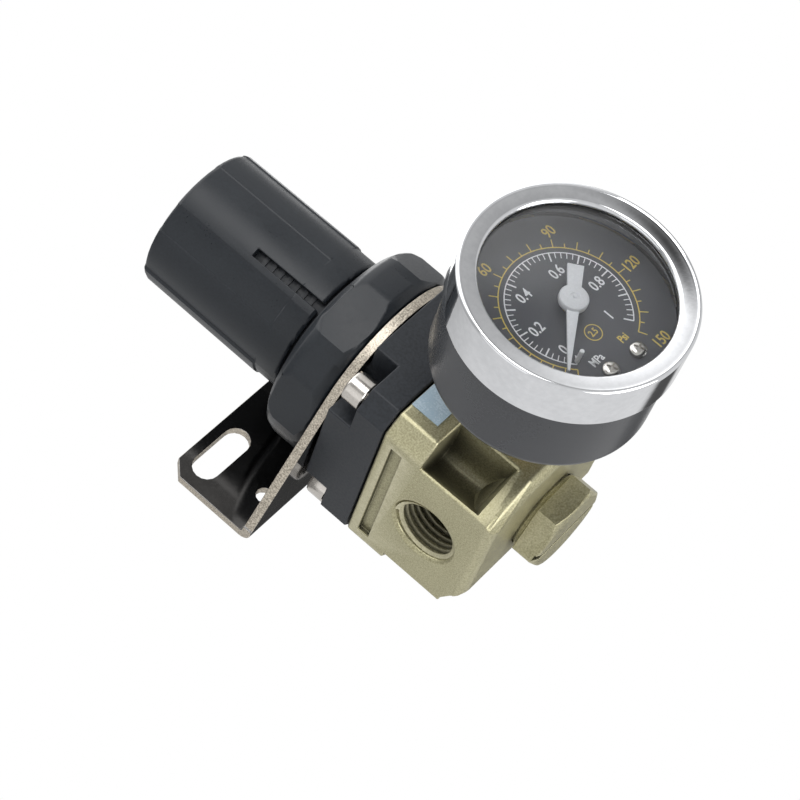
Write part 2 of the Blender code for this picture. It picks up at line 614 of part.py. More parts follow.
def make_small_fittings(finishes, root):
    """Plug in the rear gauge port and the film label on the front flange."""
    plug_section = [
        (0, 12.4 * MM), (4.2 * MM, 12.4 * MM), (4.6 * MM, 12.8 * MM), (4.6 * MM, 19.6 * MM),
        (0, 19.6 * MM),
    ]
    plug_mesh = turned_to(lathe(plug_section, 24), (0, 1, 0))
    plug = piece("rear_port_plug", plug_mesh, finishes["nickel"], root)
    socket = turned_to(prism(polygon(6, 2.9 * MM), 15.6 * MM, 21 * MM), (0, 1, 0))
    boolean(plug, socket, "DIFFERENCE", root)
    label = prism(box_outline(-13.9 * MM, 13.9 * MM, -BODY_HALF - 0.2 * MM, -BODY_HALF - 0.05 * MM),
                  7.7 * MM, 13.7 * MM)
    piece("label", label, finishes["label_film"], root)


def make_gauge_shell(finishes, axis):
    """Socket, case, bezel, lens and gasket, along the gauge's own axis."""
    socket_section = [
        (0, 12.6 * MM), (4.1 * MM, 12.6 * MM), (4.5 * MM, 13.0 * MM), (4.5 * MM, 20.4 * MM),
        (5.0 * MM, 20.4 * MM), (5.0 * MM, 35.8 * MM), (7.0 * MM, 35.8 * MM), (7.0 * MM, 38.4 * MM),
        (0, 38.4 * MM),
    ]
    socket = piece("gauge_socket", lathe(socket_section, 24), finishes["brass"], axis)
    boolean(socket, prism(polygon(6, 7.0 * MM, 30), 21 * MM, 28 * MM), "UNION", axis)
    boolean(socket, prism(box_outline(-2.4 * MM, 2.4 * MM, -16.2 * MM, 0), 36.2 * MM, 38.4 * MM),
            "UNION", axis)
    floor = CASE_BACK + 2.2 * MM
    case = [
        (SOCKET_HOLE_R, CASE_BACK), (CASE_R - 1.4 * MM, CASE_BACK),
        (CASE_R - 0.4 * MM, CASE_BACK + 0.5 * MM), (CASE_R, CASE_BACK + 1.6 * MM),
        (CASE_R, CASE_FRONT), (CASE_BORE_R, CASE_FRONT), (CASE_BORE_R, floor),
        (SOCKET_HOLE_R, floor),
    ]
    piece("gauge_case", lathe(case, 48), finishes["black_plastic"], axis)
    skirt_r = CASE_R + GAP
    seat = BEZEL_FRONT - 1.0 * MM
    bezel = [
        (skirt_r, BEZEL_BACK), (BEZEL_R, BEZEL_BACK), (BEZEL_R, BEZEL_FRONT - 1.5 * MM),
        (BEZEL_R - 0.4 * MM, BEZEL_FRONT - 0.5 * MM), (BEZEL_R - 1.3 * MM, BEZEL_FRONT),
        (BEZEL_R - 2.5 * MM, BEZEL_FRONT - 0.1 * MM), (WINDOW_R, BEZEL_FRONT - 0.9 * MM),
        (WINDOW_R, seat), (skirt_r - 1.2 * MM, seat), (skirt_r - 1.2 * MM, CASE_FRONT + GAP),
        (skirt_r, CASE_FRONT + GAP),
    ]
    piece("gauge_bezel", lathe(bezel, 48), finishes["chrome"], axis)
    lens = [
        (0, 56.6), (18.8, 56.2), (18.8, 57.5), (16.8, 57.6), (9.0, 58.0), (0, 58.2),
    ]
    piece("gauge_lens", lathe([(r * MM, z * MM) for r, z in lens], 32), finishes["clear_lens"], axis)
    gasket = [(17.6, 55.0), (18.8, 55.0), (18.8, 55.8), (17.6, 55.8)]
    piece("lens_gasket", lathe([(r * MM, z * MM) for r, z in gasket], 32), finishes["rubber"], axis)


def make_dial(finishes, axis):
    """Dial with its two screws and the stop pin."""
    dial = piece("gauge_dial", lathe([(1.2 * MM, 51.2 * MM), (DIAL_R, 51.2 * MM),
                 (DIAL_R, DIAL_Z), (1.2 * MM, DIAL_Z)], 48), finishes["dial_black"], axis)
    for number, (x, y) in enumerate(DIAL_SCREW_PLACES, start=1):
        hole = rod(0.9 * MM, 50 * MM, 53 * MM, 10)
        bmesh.ops.translate(hole, verts=hole.verts, vec=(x, y, 0))
        boolean(dial, hole, "DIFFERENCE", axis)
        section = [
            (0, 47.2 * MM), (0.6 * MM, 47.2 * MM), (0.6 * MM, 51.8 * MM), (1.25 * MM, 51.8 * MM),
            (1.25 * MM, 52.4 * MM), (0.8 * MM, 52.8 * MM), (0, 52.9 * MM),
        ]
        screw = lathe(section, 12)
        bmesh.ops.translate(screw, verts=screw.verts, vec=(x, y, 0))
        piece(f"dial_screw_{number}", screw, finishes["nickel"], axis, (x, y, DIAL_Z))
    pin = rod(STOP_PIN_R, DIAL_Z + 0.2 * MM, 55 * MM, 10)
    bmesh.ops.translate(pin, verts=pin.verts, vec=(*STOP_PIN_PLACE, 0))
    piece("pointer_stop", pin, finishes["white_paint"], axis)


def make_pointer(finishes, axis):
    """White pointer on its arbor; the arbor carries the pinion."""
    hub_z = 53.9 * MM
    blade = [
        (-7.0, -1.4), (-1.6, -1.15), (1.6, -1.1), (14.3, -0.2),
        (14.3, 0.2), (1.6, 1.1), (-1.6, 1.15), (-7.0, 1.4),
    ]
    angle = math.radians(POINTER_REST_DEG)
    outline = [
        ((x * math.cos(angle) - y * math.sin(angle)) * MM,
         (x * math.sin(angle) + y * math.cos(angle)) * MM)
        for x, y in blade
    ]
    pointer = piece("pointer", prism(outline, hub_z, hub_z + 0.5 * MM), finishes["white_paint"],
                    axis, (0, 0, hub_z))
    hub = rod(POINTER_HUB_R, hub_z - 0.2 * MM, hub_z + 1.5 * MM, 20)
    boolean(pointer, hub, "UNION", axis)
    bore = rod(ARBOR_R + 0.2 * MM, hub_z - 1 * MM, hub_z + 1.0 * MM, 12)
    boolean(pointer, bore, "DIFFERENCE", axis)
    arbor = piece("pointer_arbor", rod(ARBOR_R, 39.0 * MM, hub_z + 0.7 * MM, 12),
                  finishes["steel"], axis, (0, 0, 43 * MM))
    pinion = prism(gear_outline(PINION_TEETH, 15.0, 0.0, 360.0, (0, 0)), 42 * MM, 43.4 * MM)
    boolean(arbor, pinion, "UNION", axis)


def gear_outline(teeth, first_deg, start_deg, end_deg, centre):
    """Tooth crests and roots between two angles; teeth is the count for a full circle."""
    pitch = 360.0 / teeth
    pitch_r = teeth * GEAR_MODULE / 2
    tip_r = pitch_r + 0.25 * MM
    root_r = pitch_r - 0.45 * MM
    root_half = math.degrees(0.26 * MM / pitch_r)
    tip_half = math.degrees(0.12 * MM / pitch_r)
    points = []
    angle = first_deg
    while angle < first_deg + 360 - 0.001:
        if start_deg <= angle <= end_deg:
            for radius, turn in ((root_r, -root_half), (tip_r, -tip_half),
                                 (tip_r, tip_half), (root_r, root_half)):
                a = math.radians(angle + turn)
                points.append((centre[0] + radius * math.cos(a), centre[1] + radius * math.sin(a)))
        angle += pitch
    return points


def make_movement(finishes, axis):
    """Gauge movement: two plates, sector gear, link, hairspring and Bourdon tube."""
    plate_outline = box_outline(-4.2 * MM, 4.2 * MM, -12.8 * MM, 3.4 * MM)
    levels = {"movement_plate_back": (39.6, 40.4), "movement_plate_front": (45.6, 46.4)}
    for name, (low, high) in levels.items():
        plate = piece(name, prism(plate_outline, low * MM, high * MM), finishes["brass"], axis)
        for centre in ((0.0, 0.0), SECTOR_CENTRE):
            hole = rod(ARBOR_R + 0.3 * MM, (low - 1) * MM, (high + 1) * MM, 12)
            bmesh.ops.translate(hole, verts=hole.verts, vec=(*centre, 0))
            boolean(plate, hole, "DIFFERENCE", axis)
        if name == "movement_plate_front":
            for x, y in ((-3.2, 2.4), (3.2, 2.4), (-3.2, -12.0)):
                pillar = rod(0.7 * MM, 40.7 * MM, 45.8 * MM, 10)
                bmesh.ops.translate(pillar, verts=pillar.verts, vec=(x * MM, y * MM, 0))
                boolean(plate, pillar, "UNION", axis)
    make_sector(finishes, axis)
    hairspring(finishes, axis)
    tube_outline = arc((0, 0), TUBE_R + 0.8 * MM, 258, -22, 28)
    tube_outline += arc((0, 0), TUBE_R - 0.8 * MM, -22, 258, 28)
    piece("bourdon_tube", prism(tube_outline, 37 * MM, 42 * MM), finishes["brass"], axis)


def make_sector(finishes, axis):
    """Toothed sector with its arbor and crank pin, and the link from the pin to the tube."""
    cx, cy = SECTOR_CENTRE
    teeth = gear_outline(SECTOR_TEETH, 0.0, 29.0, 97.0, SECTOR_CENTRE)
    crank = (cx + 0.6 * MM, cy - 3.5 * MM)
    outline = teeth + [(cx - 1.3 * MM, cy + 1.0 * MM)]
    outline += arc(crank, 1.1 * MM, 180, 360, 8)
    outline += [(cx + 1.7 * MM, cy - 0.6 * MM)]
    sector = piece("sector_gear", prism(outline, 42.1 * MM, 43.1 * MM), finishes["brass"], axis,
                   (cx, cy, 42.6 * MM))
    arbor = rod(ARBOR_R, 39.2 * MM, 46.8 * MM, 12)
    bmesh.ops.translate(arbor, verts=arbor.verts, vec=(cx, cy, 0))
    boolean(sector, arbor, "UNION", axis)
    pin = rod(0.4 * MM, 42.6 * MM, 44.3 * MM, 10)
    bmesh.ops.translate(pin, verts=pin.verts, vec=(*crank, 0))
    boolean(sector, pin, "UNION", axis)
    tip = (12.3 * MM, -6.3 * MM)
    heading = math.degrees(math.atan2(tip[1] - crank[1], tip[0] - crank[0]))
    bar = arc(crank, 1.1 * MM, heading + 90, heading + 270, 8)
    bar += arc(tip, 1.1 * MM, heading - 90, heading + 90, 8)
    link = piece("link", prism(bar, 43.4 * MM, 43.9 * MM), finishes["steel"], axis,
                 (*crank, 43.6 * MM))
    for centre in (crank, tip):
        hole = rod(0.7 * MM, 43 * MM, 45 * MM, 10)
        bmesh.ops.translate(hole, verts=hole.verts, vec=(*centre, 0))
        boolean(link, hole, "DIFFERENCE", axis)


def hairspring(finishes, axis):
    """Flat spiral spring round the arbor."""
    turns = 2.75
    steps = 40
    band = []
    for offset in (0.0, 0.12 * MM):
        side = []
        for index in range(steps + 1):
            angle = TURN * turns * index / steps
            radius = 1.0 * MM + 1.8 * MM * index / steps + offset
            side.append((radius * math.cos(angle), radius * math.sin(angle)))
        band.append(side)
    outline = band[1] + band[0][::-1]
    piece("hairspring", prism(outline, 44.4 * MM, 44.9 * MM), finishes["steel"], axis)


def main():
    """Builds the whole regulator."""
    clear_scene()
    finishes = make_finishes()
    root = frame_empty("regulator", (0, -FOOT_BACK, -SLOT_Z), (0, 0, 0), None)
    gauge_axis = frame_empty("gauge_axis", (0, 0, 0), (math.radians(90), 0, 0), root)
    make_body(finishes, root)
    make_valve(finishes, root)
    make_diaphragm(finishes, root)
    make_bonnet(finishes, root)
    make_bonnet_screws(finishes, root)
    make_panel_nut(finishes, root)
    make_bracket(finishes, root)
    make_setting_group(finishes, root)
    make_knob(finishes, root)
    make_small_fittings(finishes, root)
    make_gauge_shell(finishes, gauge_axis)
    make_dial(finishes, gauge_axis)
    make_pointer(finishes, gauge_axis)
    make_movement(finishes, gauge_axis)


main()
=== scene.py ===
"""Looks of the air pressure regulator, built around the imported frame.

Meshes are modelled in millimetres in the design frame, where +Z runs up the setting screw, the
inlet port faces -X and the gauge faces -Y, and the origin is where the port axis crosses the
main axis.  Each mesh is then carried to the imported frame, so that every object sits at the origin.
"""

import logging
import math
from dataclasses import dataclass, field
from enum import Enum
from typing import Iterable, Sequence

import bmesh
import bpy
from mathutils import Matrix, Vector


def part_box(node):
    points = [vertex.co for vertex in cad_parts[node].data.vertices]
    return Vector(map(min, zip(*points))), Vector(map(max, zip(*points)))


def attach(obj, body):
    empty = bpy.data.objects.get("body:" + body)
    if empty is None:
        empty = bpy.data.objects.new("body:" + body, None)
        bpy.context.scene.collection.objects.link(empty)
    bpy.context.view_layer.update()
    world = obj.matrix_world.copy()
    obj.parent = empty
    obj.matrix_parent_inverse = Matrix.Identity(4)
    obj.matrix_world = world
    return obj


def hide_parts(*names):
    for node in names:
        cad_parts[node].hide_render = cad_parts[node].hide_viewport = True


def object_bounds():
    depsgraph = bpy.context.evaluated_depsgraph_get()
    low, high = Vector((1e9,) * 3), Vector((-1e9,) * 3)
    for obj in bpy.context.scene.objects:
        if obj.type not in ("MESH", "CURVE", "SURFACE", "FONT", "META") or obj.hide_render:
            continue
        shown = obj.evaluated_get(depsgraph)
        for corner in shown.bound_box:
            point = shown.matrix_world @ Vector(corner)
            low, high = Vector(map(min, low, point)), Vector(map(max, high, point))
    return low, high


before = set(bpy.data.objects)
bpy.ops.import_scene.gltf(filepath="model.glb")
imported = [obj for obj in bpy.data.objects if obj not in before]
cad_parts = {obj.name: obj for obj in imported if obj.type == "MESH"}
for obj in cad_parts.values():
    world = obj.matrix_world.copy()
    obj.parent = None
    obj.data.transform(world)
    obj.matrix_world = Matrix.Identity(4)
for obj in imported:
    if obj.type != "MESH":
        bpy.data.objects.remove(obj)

LOG = logging.getLogger("regulator")
CAD_BOX = [list(corner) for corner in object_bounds()]
MM = 0.001
TURN = 2 * math.pi
WELD = 0.0005  # millimetres: points closer than this are one point
CAD_WELD = 0.002  # millimetres: the same for a copied CAD mesh
CAD_FLAT = 0.6  # degrees: copied faces that differ by less are joined
INK = 0.03  # millimetres: how thick the dial's print is
CAPITAL_SHARE = 0.72  # a capital's height as a share of the letter size
LETTER_WIDTH = 0.8  # how far the dial's letters are narrowed
NOISE_SPAN = (0.35, 0.65)  # the part of a noise texture's range that holds nearly all values

Point2 = tuple[float, float]
Profile = Sequence[Point2]
Colour = tuple[float, float, float]


def middle(node: str) -> Vector:
    """Centre of a CAD node's box."""
    low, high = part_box(node)
    return (low + high) / 2


def design_origin() -> Vector:
    """Where the port axis crosses the main axis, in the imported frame."""
    return Vector((0.0, middle("knob").y, middle("gauge_bezel").z))


ORIGIN = design_origin()
TO_FRAME = Matrix.Translation(ORIGIN) @ Matrix.Scale(MM, 4)


class Facing(Enum):
    """Directions that a turned mesh can be pointed in."""

    UP = Matrix.Identity(4)
    GAUGE = Matrix.Rotation(math.radians(90), 4, "X")
    INLET = Matrix.Rotation(math.radians(-90), 4, "Y")
    OUTLET = Matrix.Rotation(math.radians(90), 4, "Y")


class Operation(Enum):
    """What an exact Boolean does with its tool."""

    JOIN = "UNION"
    CUT = "DIFFERENCE"


# ---------------------------------------------------------------------------------------------
# Finishes
# ---------------------------------------------------------------------------------------------


def add_math(tree: bpy.types.NodeTree, operation: str, first: bpy.types.NodeSocket,
             second: bpy.types.NodeSocket, clamp: bool = False) -> bpy.types.NodeSocket:
    """Adds a math node on two sockets and gives its result."""
    node = tree.nodes.new("ShaderNodeMath")
    node.operation = operation
    node.use_clamp = clamp
    tree.links.new(first, node.inputs[0])
    tree.links.new(second, node.inputs[1])
    return node.outputs["Value"]


def add_range(tree: bpy.types.NodeTree, value: bpy.types.NodeSocket, source: Point2,
              target: Point2 = (0.0, 1.0)) -> bpy.types.NodeSocket:
    """Adds a node that carries a value from one range to another, and gives its result."""
    node = tree.nodes.new("ShaderNodeMapRange")
    for label, number in zip(("From Min", "From Max", "To Min", "To Max"), (*source, *target)):
        node.inputs[label].default_value = number
    tree.links.new(value, node.inputs["Value"])
    return node.outputs["Result"]


def add_noise(tree: bpy.types.NodeTree, place: bpy.types.NodeSocket,
              scale: bpy.types.NodeSocket, detail: float) -> bpy.types.NodeSocket:
    """Adds a noise texture and gives its value."""
    node = tree.nodes.new("ShaderNodeTexNoise")
    node.inputs["Detail"].default_value = detail
    tree.links.new(place, node.inputs["Vector"])
    tree.links.new(scale, node.inputs["Scale"])
    return node.outputs["Fac"]


def group_io(
    name: str, inputs: dict[str, tuple[str, float]], outputs: dict[str, str],
) -> tuple[bpy.types.NodeTree, bpy.types.Node, bpy.types.Node]:
    """Starts a shader node group.

    Args:
        name: the group's name.
        inputs: socket name to its type and default.
        outputs: socket name to its type.

    Returns:
        The group, its input node and its output node.
    """
    group = bpy.data.node_groups.new(name, "ShaderNodeTree")
    for label, (kind, value) in inputs.items():
        socket = group.interface.new_socket(label, in_out="INPUT", socket_type=kind)
        if kind == "NodeSocketFloat":
            socket.default_value = value
    for label, kind in outputs.items():
        group.interface.new_socket(label, in_out="OUTPUT", socket_type=kind)
    return group, group.nodes.new("NodeGroupInput"), group.nodes.new("NodeGroupOutput")


def build_mottle_group() -> bpy.types.NodeTree:
    """Slow, soft variation plus fine grain, as a 0 to 1 value and as a height."""
    group, start, end = group_io(
        "mottle",
        {"Vector": ("NodeSocketVector", 0), "Slow Scale": ("NodeSocketFloat", 60.0),
         "Fine Scale": ("NodeSocketFloat", 3000.0), "Fine Share": ("NodeSocketFloat", 0.5)},
        {"Value": "NodeSocketFloat", "Height": "NodeSocketFloat"},
    )
    place = start.outputs["Vector"]
    slow = add_noise(group, place, start.outputs["Slow Scale"], 3.0)
    fine = add_noise(group, place, start.outputs["Fine Scale"], 2.0)
    blend = group.nodes.new("ShaderNodeMix")
    link = group.links.new
    link(start.outputs["Fine Share"], blend.inputs["Factor"])
    link(slow, blend.inputs["A"])
    link(fine, blend.inputs["B"])
    link(blend.outputs["Result"], end.inputs["Value"])
    link(fine, end.inputs["Height"])
    return group


def build_wear_group() -> bpy.types.NodeTree:
    """Mask of the outer edges, broken up by noise, for polished or bare corners."""
    group, start, end = group_io(
        "edge_wear",
        {"Vector": ("NodeSocketVector", 0), "Amount": ("NodeSocketFloat", 0.5),
         "Noise Scale": ("NodeSocketFloat", 900.0)},
        {"Mask": "NodeSocketFloat"},
    )
    shape = group.nodes.new("ShaderNodeNewGeometry")
    corners = add_range(group, shape.outputs["Pointiness"], (0.52, 0.62))
    noise = add_noise(group, start.outputs["Vector"], start.outputs["Noise Scale"], 4.0)
    broken = add_math(group, "MULTIPLY", corners, noise)
    mask = add_math(group, "MULTIPLY", broken, start.outputs["Amount"], True)
    group.links.new(mask, end.inputs["Mask"])
    return group


def build_crevice_group() -> bpy.types.NodeTree:
    """Mask of sheltered corners and hollows from ambient occlusion, for painted shade that darkens
    the colour there.
    """
    group, start, end = group_io(
        "crevice",
        {"Reach": ("NodeSocketFloat", 0.005), "Amount": ("NodeSocketFloat", 1.0)},
        {"Mask": "NodeSocketFloat"},
    )
    shelter = group.nodes.new("ShaderNodeAmbientOcclusion")
    shelter.samples = 8
    shelter.only_local = True
    group.links.new(start.outputs["Reach"], shelter.inputs["Distance"])
    hidden = add_range(group, shelter.outputs["AO"], (0.8, 0.3))
    mask = add_math(group, "MULTIPLY", hidden, start.outputs["Amount"], True)
    group.links.new(mask, end.inputs["Mask"])
    return group


MOTTLE = build_mottle_group()
WEAR = build_wear_group()
PAINTED_SHADE = build_crevice_group()


@dataclass(frozen=True)
class Finish:
    """One surface finish, with its colour variation, grain, bump, edge wear and painted shade in
    hollows.
    """

    name: str
    colour: Colour
    dark: Colour
    roughness: Point2 = (0.4, 0.5)
    metallic: float = 0.0
    slow_scale: float = 60.0
    fine_scale: float = 3000.0
    fine_share: float = 0.5
    bump: float = 0.05
    bump_distance: float = 0.05
    wear: float = 0.0
    wear_colour: Colour = (0.8, 0.78, 0.72)
    # Painted shade: how strongly hollows are darkened, how far the occlusion reaches, and the
    # near-black shade colour.
    crevice: float = 0.0
    crevice_reach: float = 9.0
    crevice_colour: Colour = (0.03, 0.028, 0.02)
    coat: float = 0.0
    specular: float = 0.5
    transmission: float = 0.0
    ior: float = 1.45

    def build(self) -> bpy.types.Material:
        """Makes the material with its Principled shader.

        Returns:
            The new material.
        """
        made = bpy.data.materials.new(self.name)
        made.use_nodes = True
        tree = made.node_tree
        shader = tree.nodes["Principled BSDF"]
        shader.inputs["Metallic"].default_value = self.metallic
        shader.inputs["Coat Weight"].default_value = self.coat
        shader.inputs["Specular IOR Level"].default_value = self.specular
        shader.inputs["Transmission Weight"].default_value = self.transmission
        shader.inputs["IOR"].default_value = self.ior
        place = tree.nodes.new("ShaderNodeTexCoord").outputs["Object"]
        mottle = self._group(tree, MOTTLE, {
            "Slow Scale": self.slow_scale, "Fine Scale": self.fine_scale,
            "Fine Share": self.fine_share}, place)
        value = mottle.outputs["Value"]
        tree.links.new(self._colour(tree, place, value), shader.inputs["Base Color"])
        gloss = add_range(tree, value, NOISE_SPAN, self.roughness)
        tree.links.new(gloss, shader.inputs["Roughness"])
        if self.bump > 0:
            relief = tree.nodes.new("ShaderNodeBump")
            relief.inputs["Strength"].default_value = self.bump
            relief.inputs["Distance"].default_value = self.bump_distance * MM
            tree.links.new(mottle.outputs["Height"], relief.inputs["Height"])
            tree.links.new(relief.outputs["Normal"], shader.inputs["Normal"])
        return made

    def _colour(self, tree: bpy.types.NodeTree, place: bpy.types.NodeSocket,
                value: bpy.types.NodeSocket) -> bpy.types.NodeSocket:
        """Mixes the finish's two colours, then lays edge wear and painted shade in the hollows over
        them.
        """
        mix = self._cover(tree, add_range(tree, value, NOISE_SPAN), self.colour)
        mix.inputs["A"].default_value = (*self.dark, 1.0)
        colour = mix.outputs["Result"]
        if self.wear > 0:
            wear = self._group(tree, WEAR, {"Amount": self.wear}, place)
            mix = self._cover(tree, wear.outputs["Mask"], self.wear_colour)
            tree.links.new(colour, mix.inputs["A"])
            colour = mix.outputs["Result"]
        # Painted shade: hollows and sheltered corners are darkened towards the shade colour by
        # ambient occlusion.
        if self.crevice > 0:
            painted_shade_node = self._group(tree, PAINTED_SHADE, {
                "Reach": self.crevice_reach * MM, "Amount": self.crevice})
            mix = self._cover(tree, painted_shade_node.outputs["Mask"], self.crevice_colour)
            tree.links.new(colour, mix.inputs["A"])
            colour = mix.outputs["Result"]
        return colour

    @staticmethod
    def _group(tree: bpy.types.NodeTree, group: bpy.types.NodeTree, values: dict[str, float],
               place: bpy.types.NodeSocket | None = None) -> bpy.types.Node:
        """Places a group in the tree, with its values and, if given, the surface position."""
        node = tree.nodes.new("ShaderNodeGroup")
        node.node_tree = group
        for label, value in values.items():
            node.inputs[label].default_value = value
        if place is not None:
            tree.links.new(place, node.inputs["Vector"])
        return node

    @staticmethod
    def _cover(tree: bpy.types.NodeTree, mask: bpy.types.NodeSocket,
               cover: Colour) -> bpy.types.Node:
        """Adds a colour mix that shows the cover where the mask is 1."""
        mix = tree.nodes.new("ShaderNodeMix")
        mix.data_type = "RGBA"
        mix.inputs["B"].default_value = (*cover, 1.0)
        tree.links.new(mask, mix.inputs["Factor"])
        return mix


FINISHES = [
    # The gold paint carries painted shade in its hollows.
    Finish("gold_paint", (0.47, 0.445, 0.285), (0.275, 0.255, 0.15), (0.30, 0.44), 0.72,
           slow_scale=140, fine_scale=3200, fine_share=0.85, bump=0.5, bump_distance=0.025,
           wear=0.6, wear_colour=(0.80, 0.76, 0.58), crevice=1.0),
    Finish("black_plastic", (0.013, 0.016, 0.020), (0.008, 0.010, 0.013), (0.27, 0.42),
           slow_scale=90, fine_scale=2600, fine_share=0.5, bump=0.1, bump_distance=0.02,
           specular=0.42),
    Finish("cast_plastic", (0.017, 0.020, 0.025), (0.010, 0.012, 0.015), (0.36, 0.54),
           slow_scale=160, fine_scale=1900, fine_share=0.8, bump=0.4, bump_distance=0.03,
           specular=0.42),
    Finish("case_paint", (0.029, 0.031, 0.035), (0.024, 0.026, 0.030), (0.24, 0.32),
           slow_scale=50, fine_scale=2200, fine_share=0.2, bump=0.01, bump_distance=0.005,
           coat=0.1),
    Finish("nickel", (0.70, 0.67, 0.63), (0.58, 0.55, 0.51), (0.14, 0.24), 1.0,
           slow_scale=70, fine_scale=2400, fine_share=0.4, bump=0.02, bump_distance=0.005),
    Finish("dark_nickel", (0.20, 0.193, 0.186), (0.15, 0.146, 0.142), (0.07, 0.14), 1.0,
           slow_scale=70, fine_scale=1800, fine_share=0.3, bump=0.02, bump_distance=0.004),
    Finish("sheared_edge", (0.70, 0.64, 0.54), (0.26, 0.23, 0.19), (0.28, 0.46), 1.0,
           slow_scale=200, fine_scale=3600, fine_share=0.9, bump=0.9, bump_distance=0.06),
    Finish("chrome", (0.80, 0.81, 0.83), (0.72, 0.73, 0.75), (0.02, 0.06), 1.0,
           slow_scale=160, fine_scale=900, fine_share=0.5, bump=0.5, bump_distance=0.008),
    Finish("brass", (0.72, 0.54, 0.24), (0.62, 0.44, 0.18), (0.25, 0.4), 1.0, bump=0.05),
    Finish("steel", (0.56, 0.56, 0.57), (0.46, 0.46, 0.47), (0.25, 0.4), 1.0, bump=0.05),
    Finish("rubber", (0.030, 0.030, 0.030), (0.014, 0.014, 0.014), (0.7, 0.85), bump=0.2),
    Finish("dial_black", (0.108, 0.109, 0.120), (0.088, 0.090, 0.100), (0.42, 0.5),
           slow_scale=120, fine_scale=6000, fine_share=0.3, bump=0.02, bump_distance=0.005),
    Finish("white_paint", (0.92, 0.92, 0.93), (0.86, 0.86, 0.87), (0.35, 0.45), bump=0.03),
    Finish("pointer_paint", (0.80, 0.80, 0.82), (0.72, 0.72, 0.74), (0.35, 0.45), bump=0.03),
    Finish("yellow_ink", (0.80, 0.62, 0.15), (0.70, 0.53, 0.12), (0.4, 0.5), bump=0.03),
    Finish("label_film", (0.35, 0.43, 0.49), (0.27, 0.36, 0.43), (0.2, 0.32), 0.1,
           slow_scale=300, bump=0.03, coat=0.4),
    Finish("clear_lens", (0.95, 0.965, 0.97), (0.94, 0.955, 0.965), (0.01, 0.03),
           transmission=1.0, ior=1.5, bump=0.0),
]
LOOKS = {finish.name: finish.build() for finish in FINISHES}


# ---------------------------------------------------------------------------------------------
# Mesh helpers
# ---------------------------------------------------------------------------------------------


def turned(profile: Profile, steps: int = 96, closed: bool = False) -> bmesh.types.BMesh:
    """Spins a half-section of (radius, height) points round Z.

    Args:
        profile: the section's points, in order.
        steps: how many segments a full turn has.
        closed: True where the section is a loop clear of the axis.

    Returns:
        The turned solid.
    """
    mesh = bmesh.new()
    verts = [mesh.verts.new((radius, 0, height)) for radius, height in profile]
    edges = [mesh.edges.new(pair) for pair in zip(verts, verts[1:])]
    if closed:
        edges.append(mesh.edges.new((verts[-1], verts[0])))
    bmesh.ops.spin(
        mesh, geom=verts + edges, cent=(0, 0, 0), axis=(0, 0, 1), angle=TURN,
        steps=steps, use_merge=True, use_duplicate=False,
    )
    bmesh.ops.remove_doubles(mesh, verts=mesh.verts, dist=WELD)
    bmesh.ops.recalc_face_normals(mesh, faces=mesh.faces)
    return mesh


def grown(outline: Profile, low: float, high: float) -> bmesh.types.BMesh:
    """Extrudes a flat outline along Z."""
    mesh = bmesh.new()
    base = mesh.faces.new([mesh.verts.new((x, y, low)) for x, y in outline])
    up = bmesh.ops.extrude_face_region(mesh, geom=[base])["geom"]
    lifted = [item for item in up if isinstance(item, bmesh.types.BMVert)]
    bmesh.ops.translate(mesh, verts=lifted, vec=(0, 0, high - low))
    bmesh.ops.recalc_face_normals(mesh, faces=mesh.faces)
    return mesh


def bar(near: float, far: float, width: float, low: float, high: float) -> bmesh.types.BMesh:
    """Straight bar along X, as wide as given and centred on the X axis."""
    half = width / 2
    return grown([(near, -half), (far, -half), (far, half), (near, half)], low, high)


def is_corner(edge: bmesh.types.BMEdge, angle: float) -> bool:
    """Whether two faces meet at an edge at more than an angle in degrees."""
    return len(edge.link_faces) == 2 and edge.calc_face_angle() > math.radians(angle)


def has_room(edge: bmesh.types.BMEdge, width: float, spare: float = 1.6) -> bool:
    """Whether the faces and edges beside an edge are wide enough for a bevel on it."""
    around = [other for vert in edge.verts for other in vert.link_edges]
    wide = all(face.calc_area() > 2 * width * max(side.calc_length() for side in face.edges)
               for face in edge.link_faces)
    return wide and all(other.calc_length() > spare * width for other in around)


def bevelled(mesh: bmesh.types.BMesh, edges: list[bmesh.types.BMEdge], width: float,
             segments: int) -> bmesh.types.BMesh:
    """Bevels the given edges and joins the points that fall together."""
    bmesh.ops.bevel(
        mesh, geom=edges, offset=width, offset_type="OFFSET", segments=segments, profile=0.5,
        affect="EDGES", clamp_overlap=False, material=-1,
    )
    bmesh.ops.remove_doubles(mesh, verts=mesh.verts, dist=WELD)
    return mesh


def rounded(mesh: bmesh.types.BMesh, width: float, segments: int = 2,
            angle: float = 30.0) -> bmesh.types.BMesh:
    """Bevels every edge sharper than an angle.

    Args:
        mesh: the mesh to round.
        width: the bevel's width in millimetres.
        segments: how many strips each bevel has.
        angle: the smallest angle between faces, in degrees, that is rounded.

    Returns:
        The same mesh.
    """
    return bevelled(mesh, [
        edge for edge in mesh.edges
        if is_corner(edge, angle) and has_room(edge, width)
    ], width, segments)


def softened(mesh: bmesh.types.BMesh, width: float, shortest: float = 3.5, area: float = 5.0,
             segments: int = 3, angle: float = 28.0) -> bmesh.types.BMesh:
    """Rounds only the long outer edges between large faces, as a casting has them.

    Args:
        mesh: the mesh to round.
        width: the bevel's width in millimetres.
        shortest: the shortest edge that is rounded, in millimetres.
        area: the smallest face beside such an edge, in square millimetres.
        segments: how many strips each bevel has.
        angle: the smallest angle between faces, in degrees, that is rounded.

    Returns:
        The same mesh.
    """
    return bevelled(mesh, [
        edge for edge in mesh.edges
        if is_corner(edge, angle) and edge.is_convex and edge.calc_length() > shortest
        and min(face.calc_area() for face in edge.link_faces) > area
        and has_room(edge, width, 1.2)
    ], width, segments)


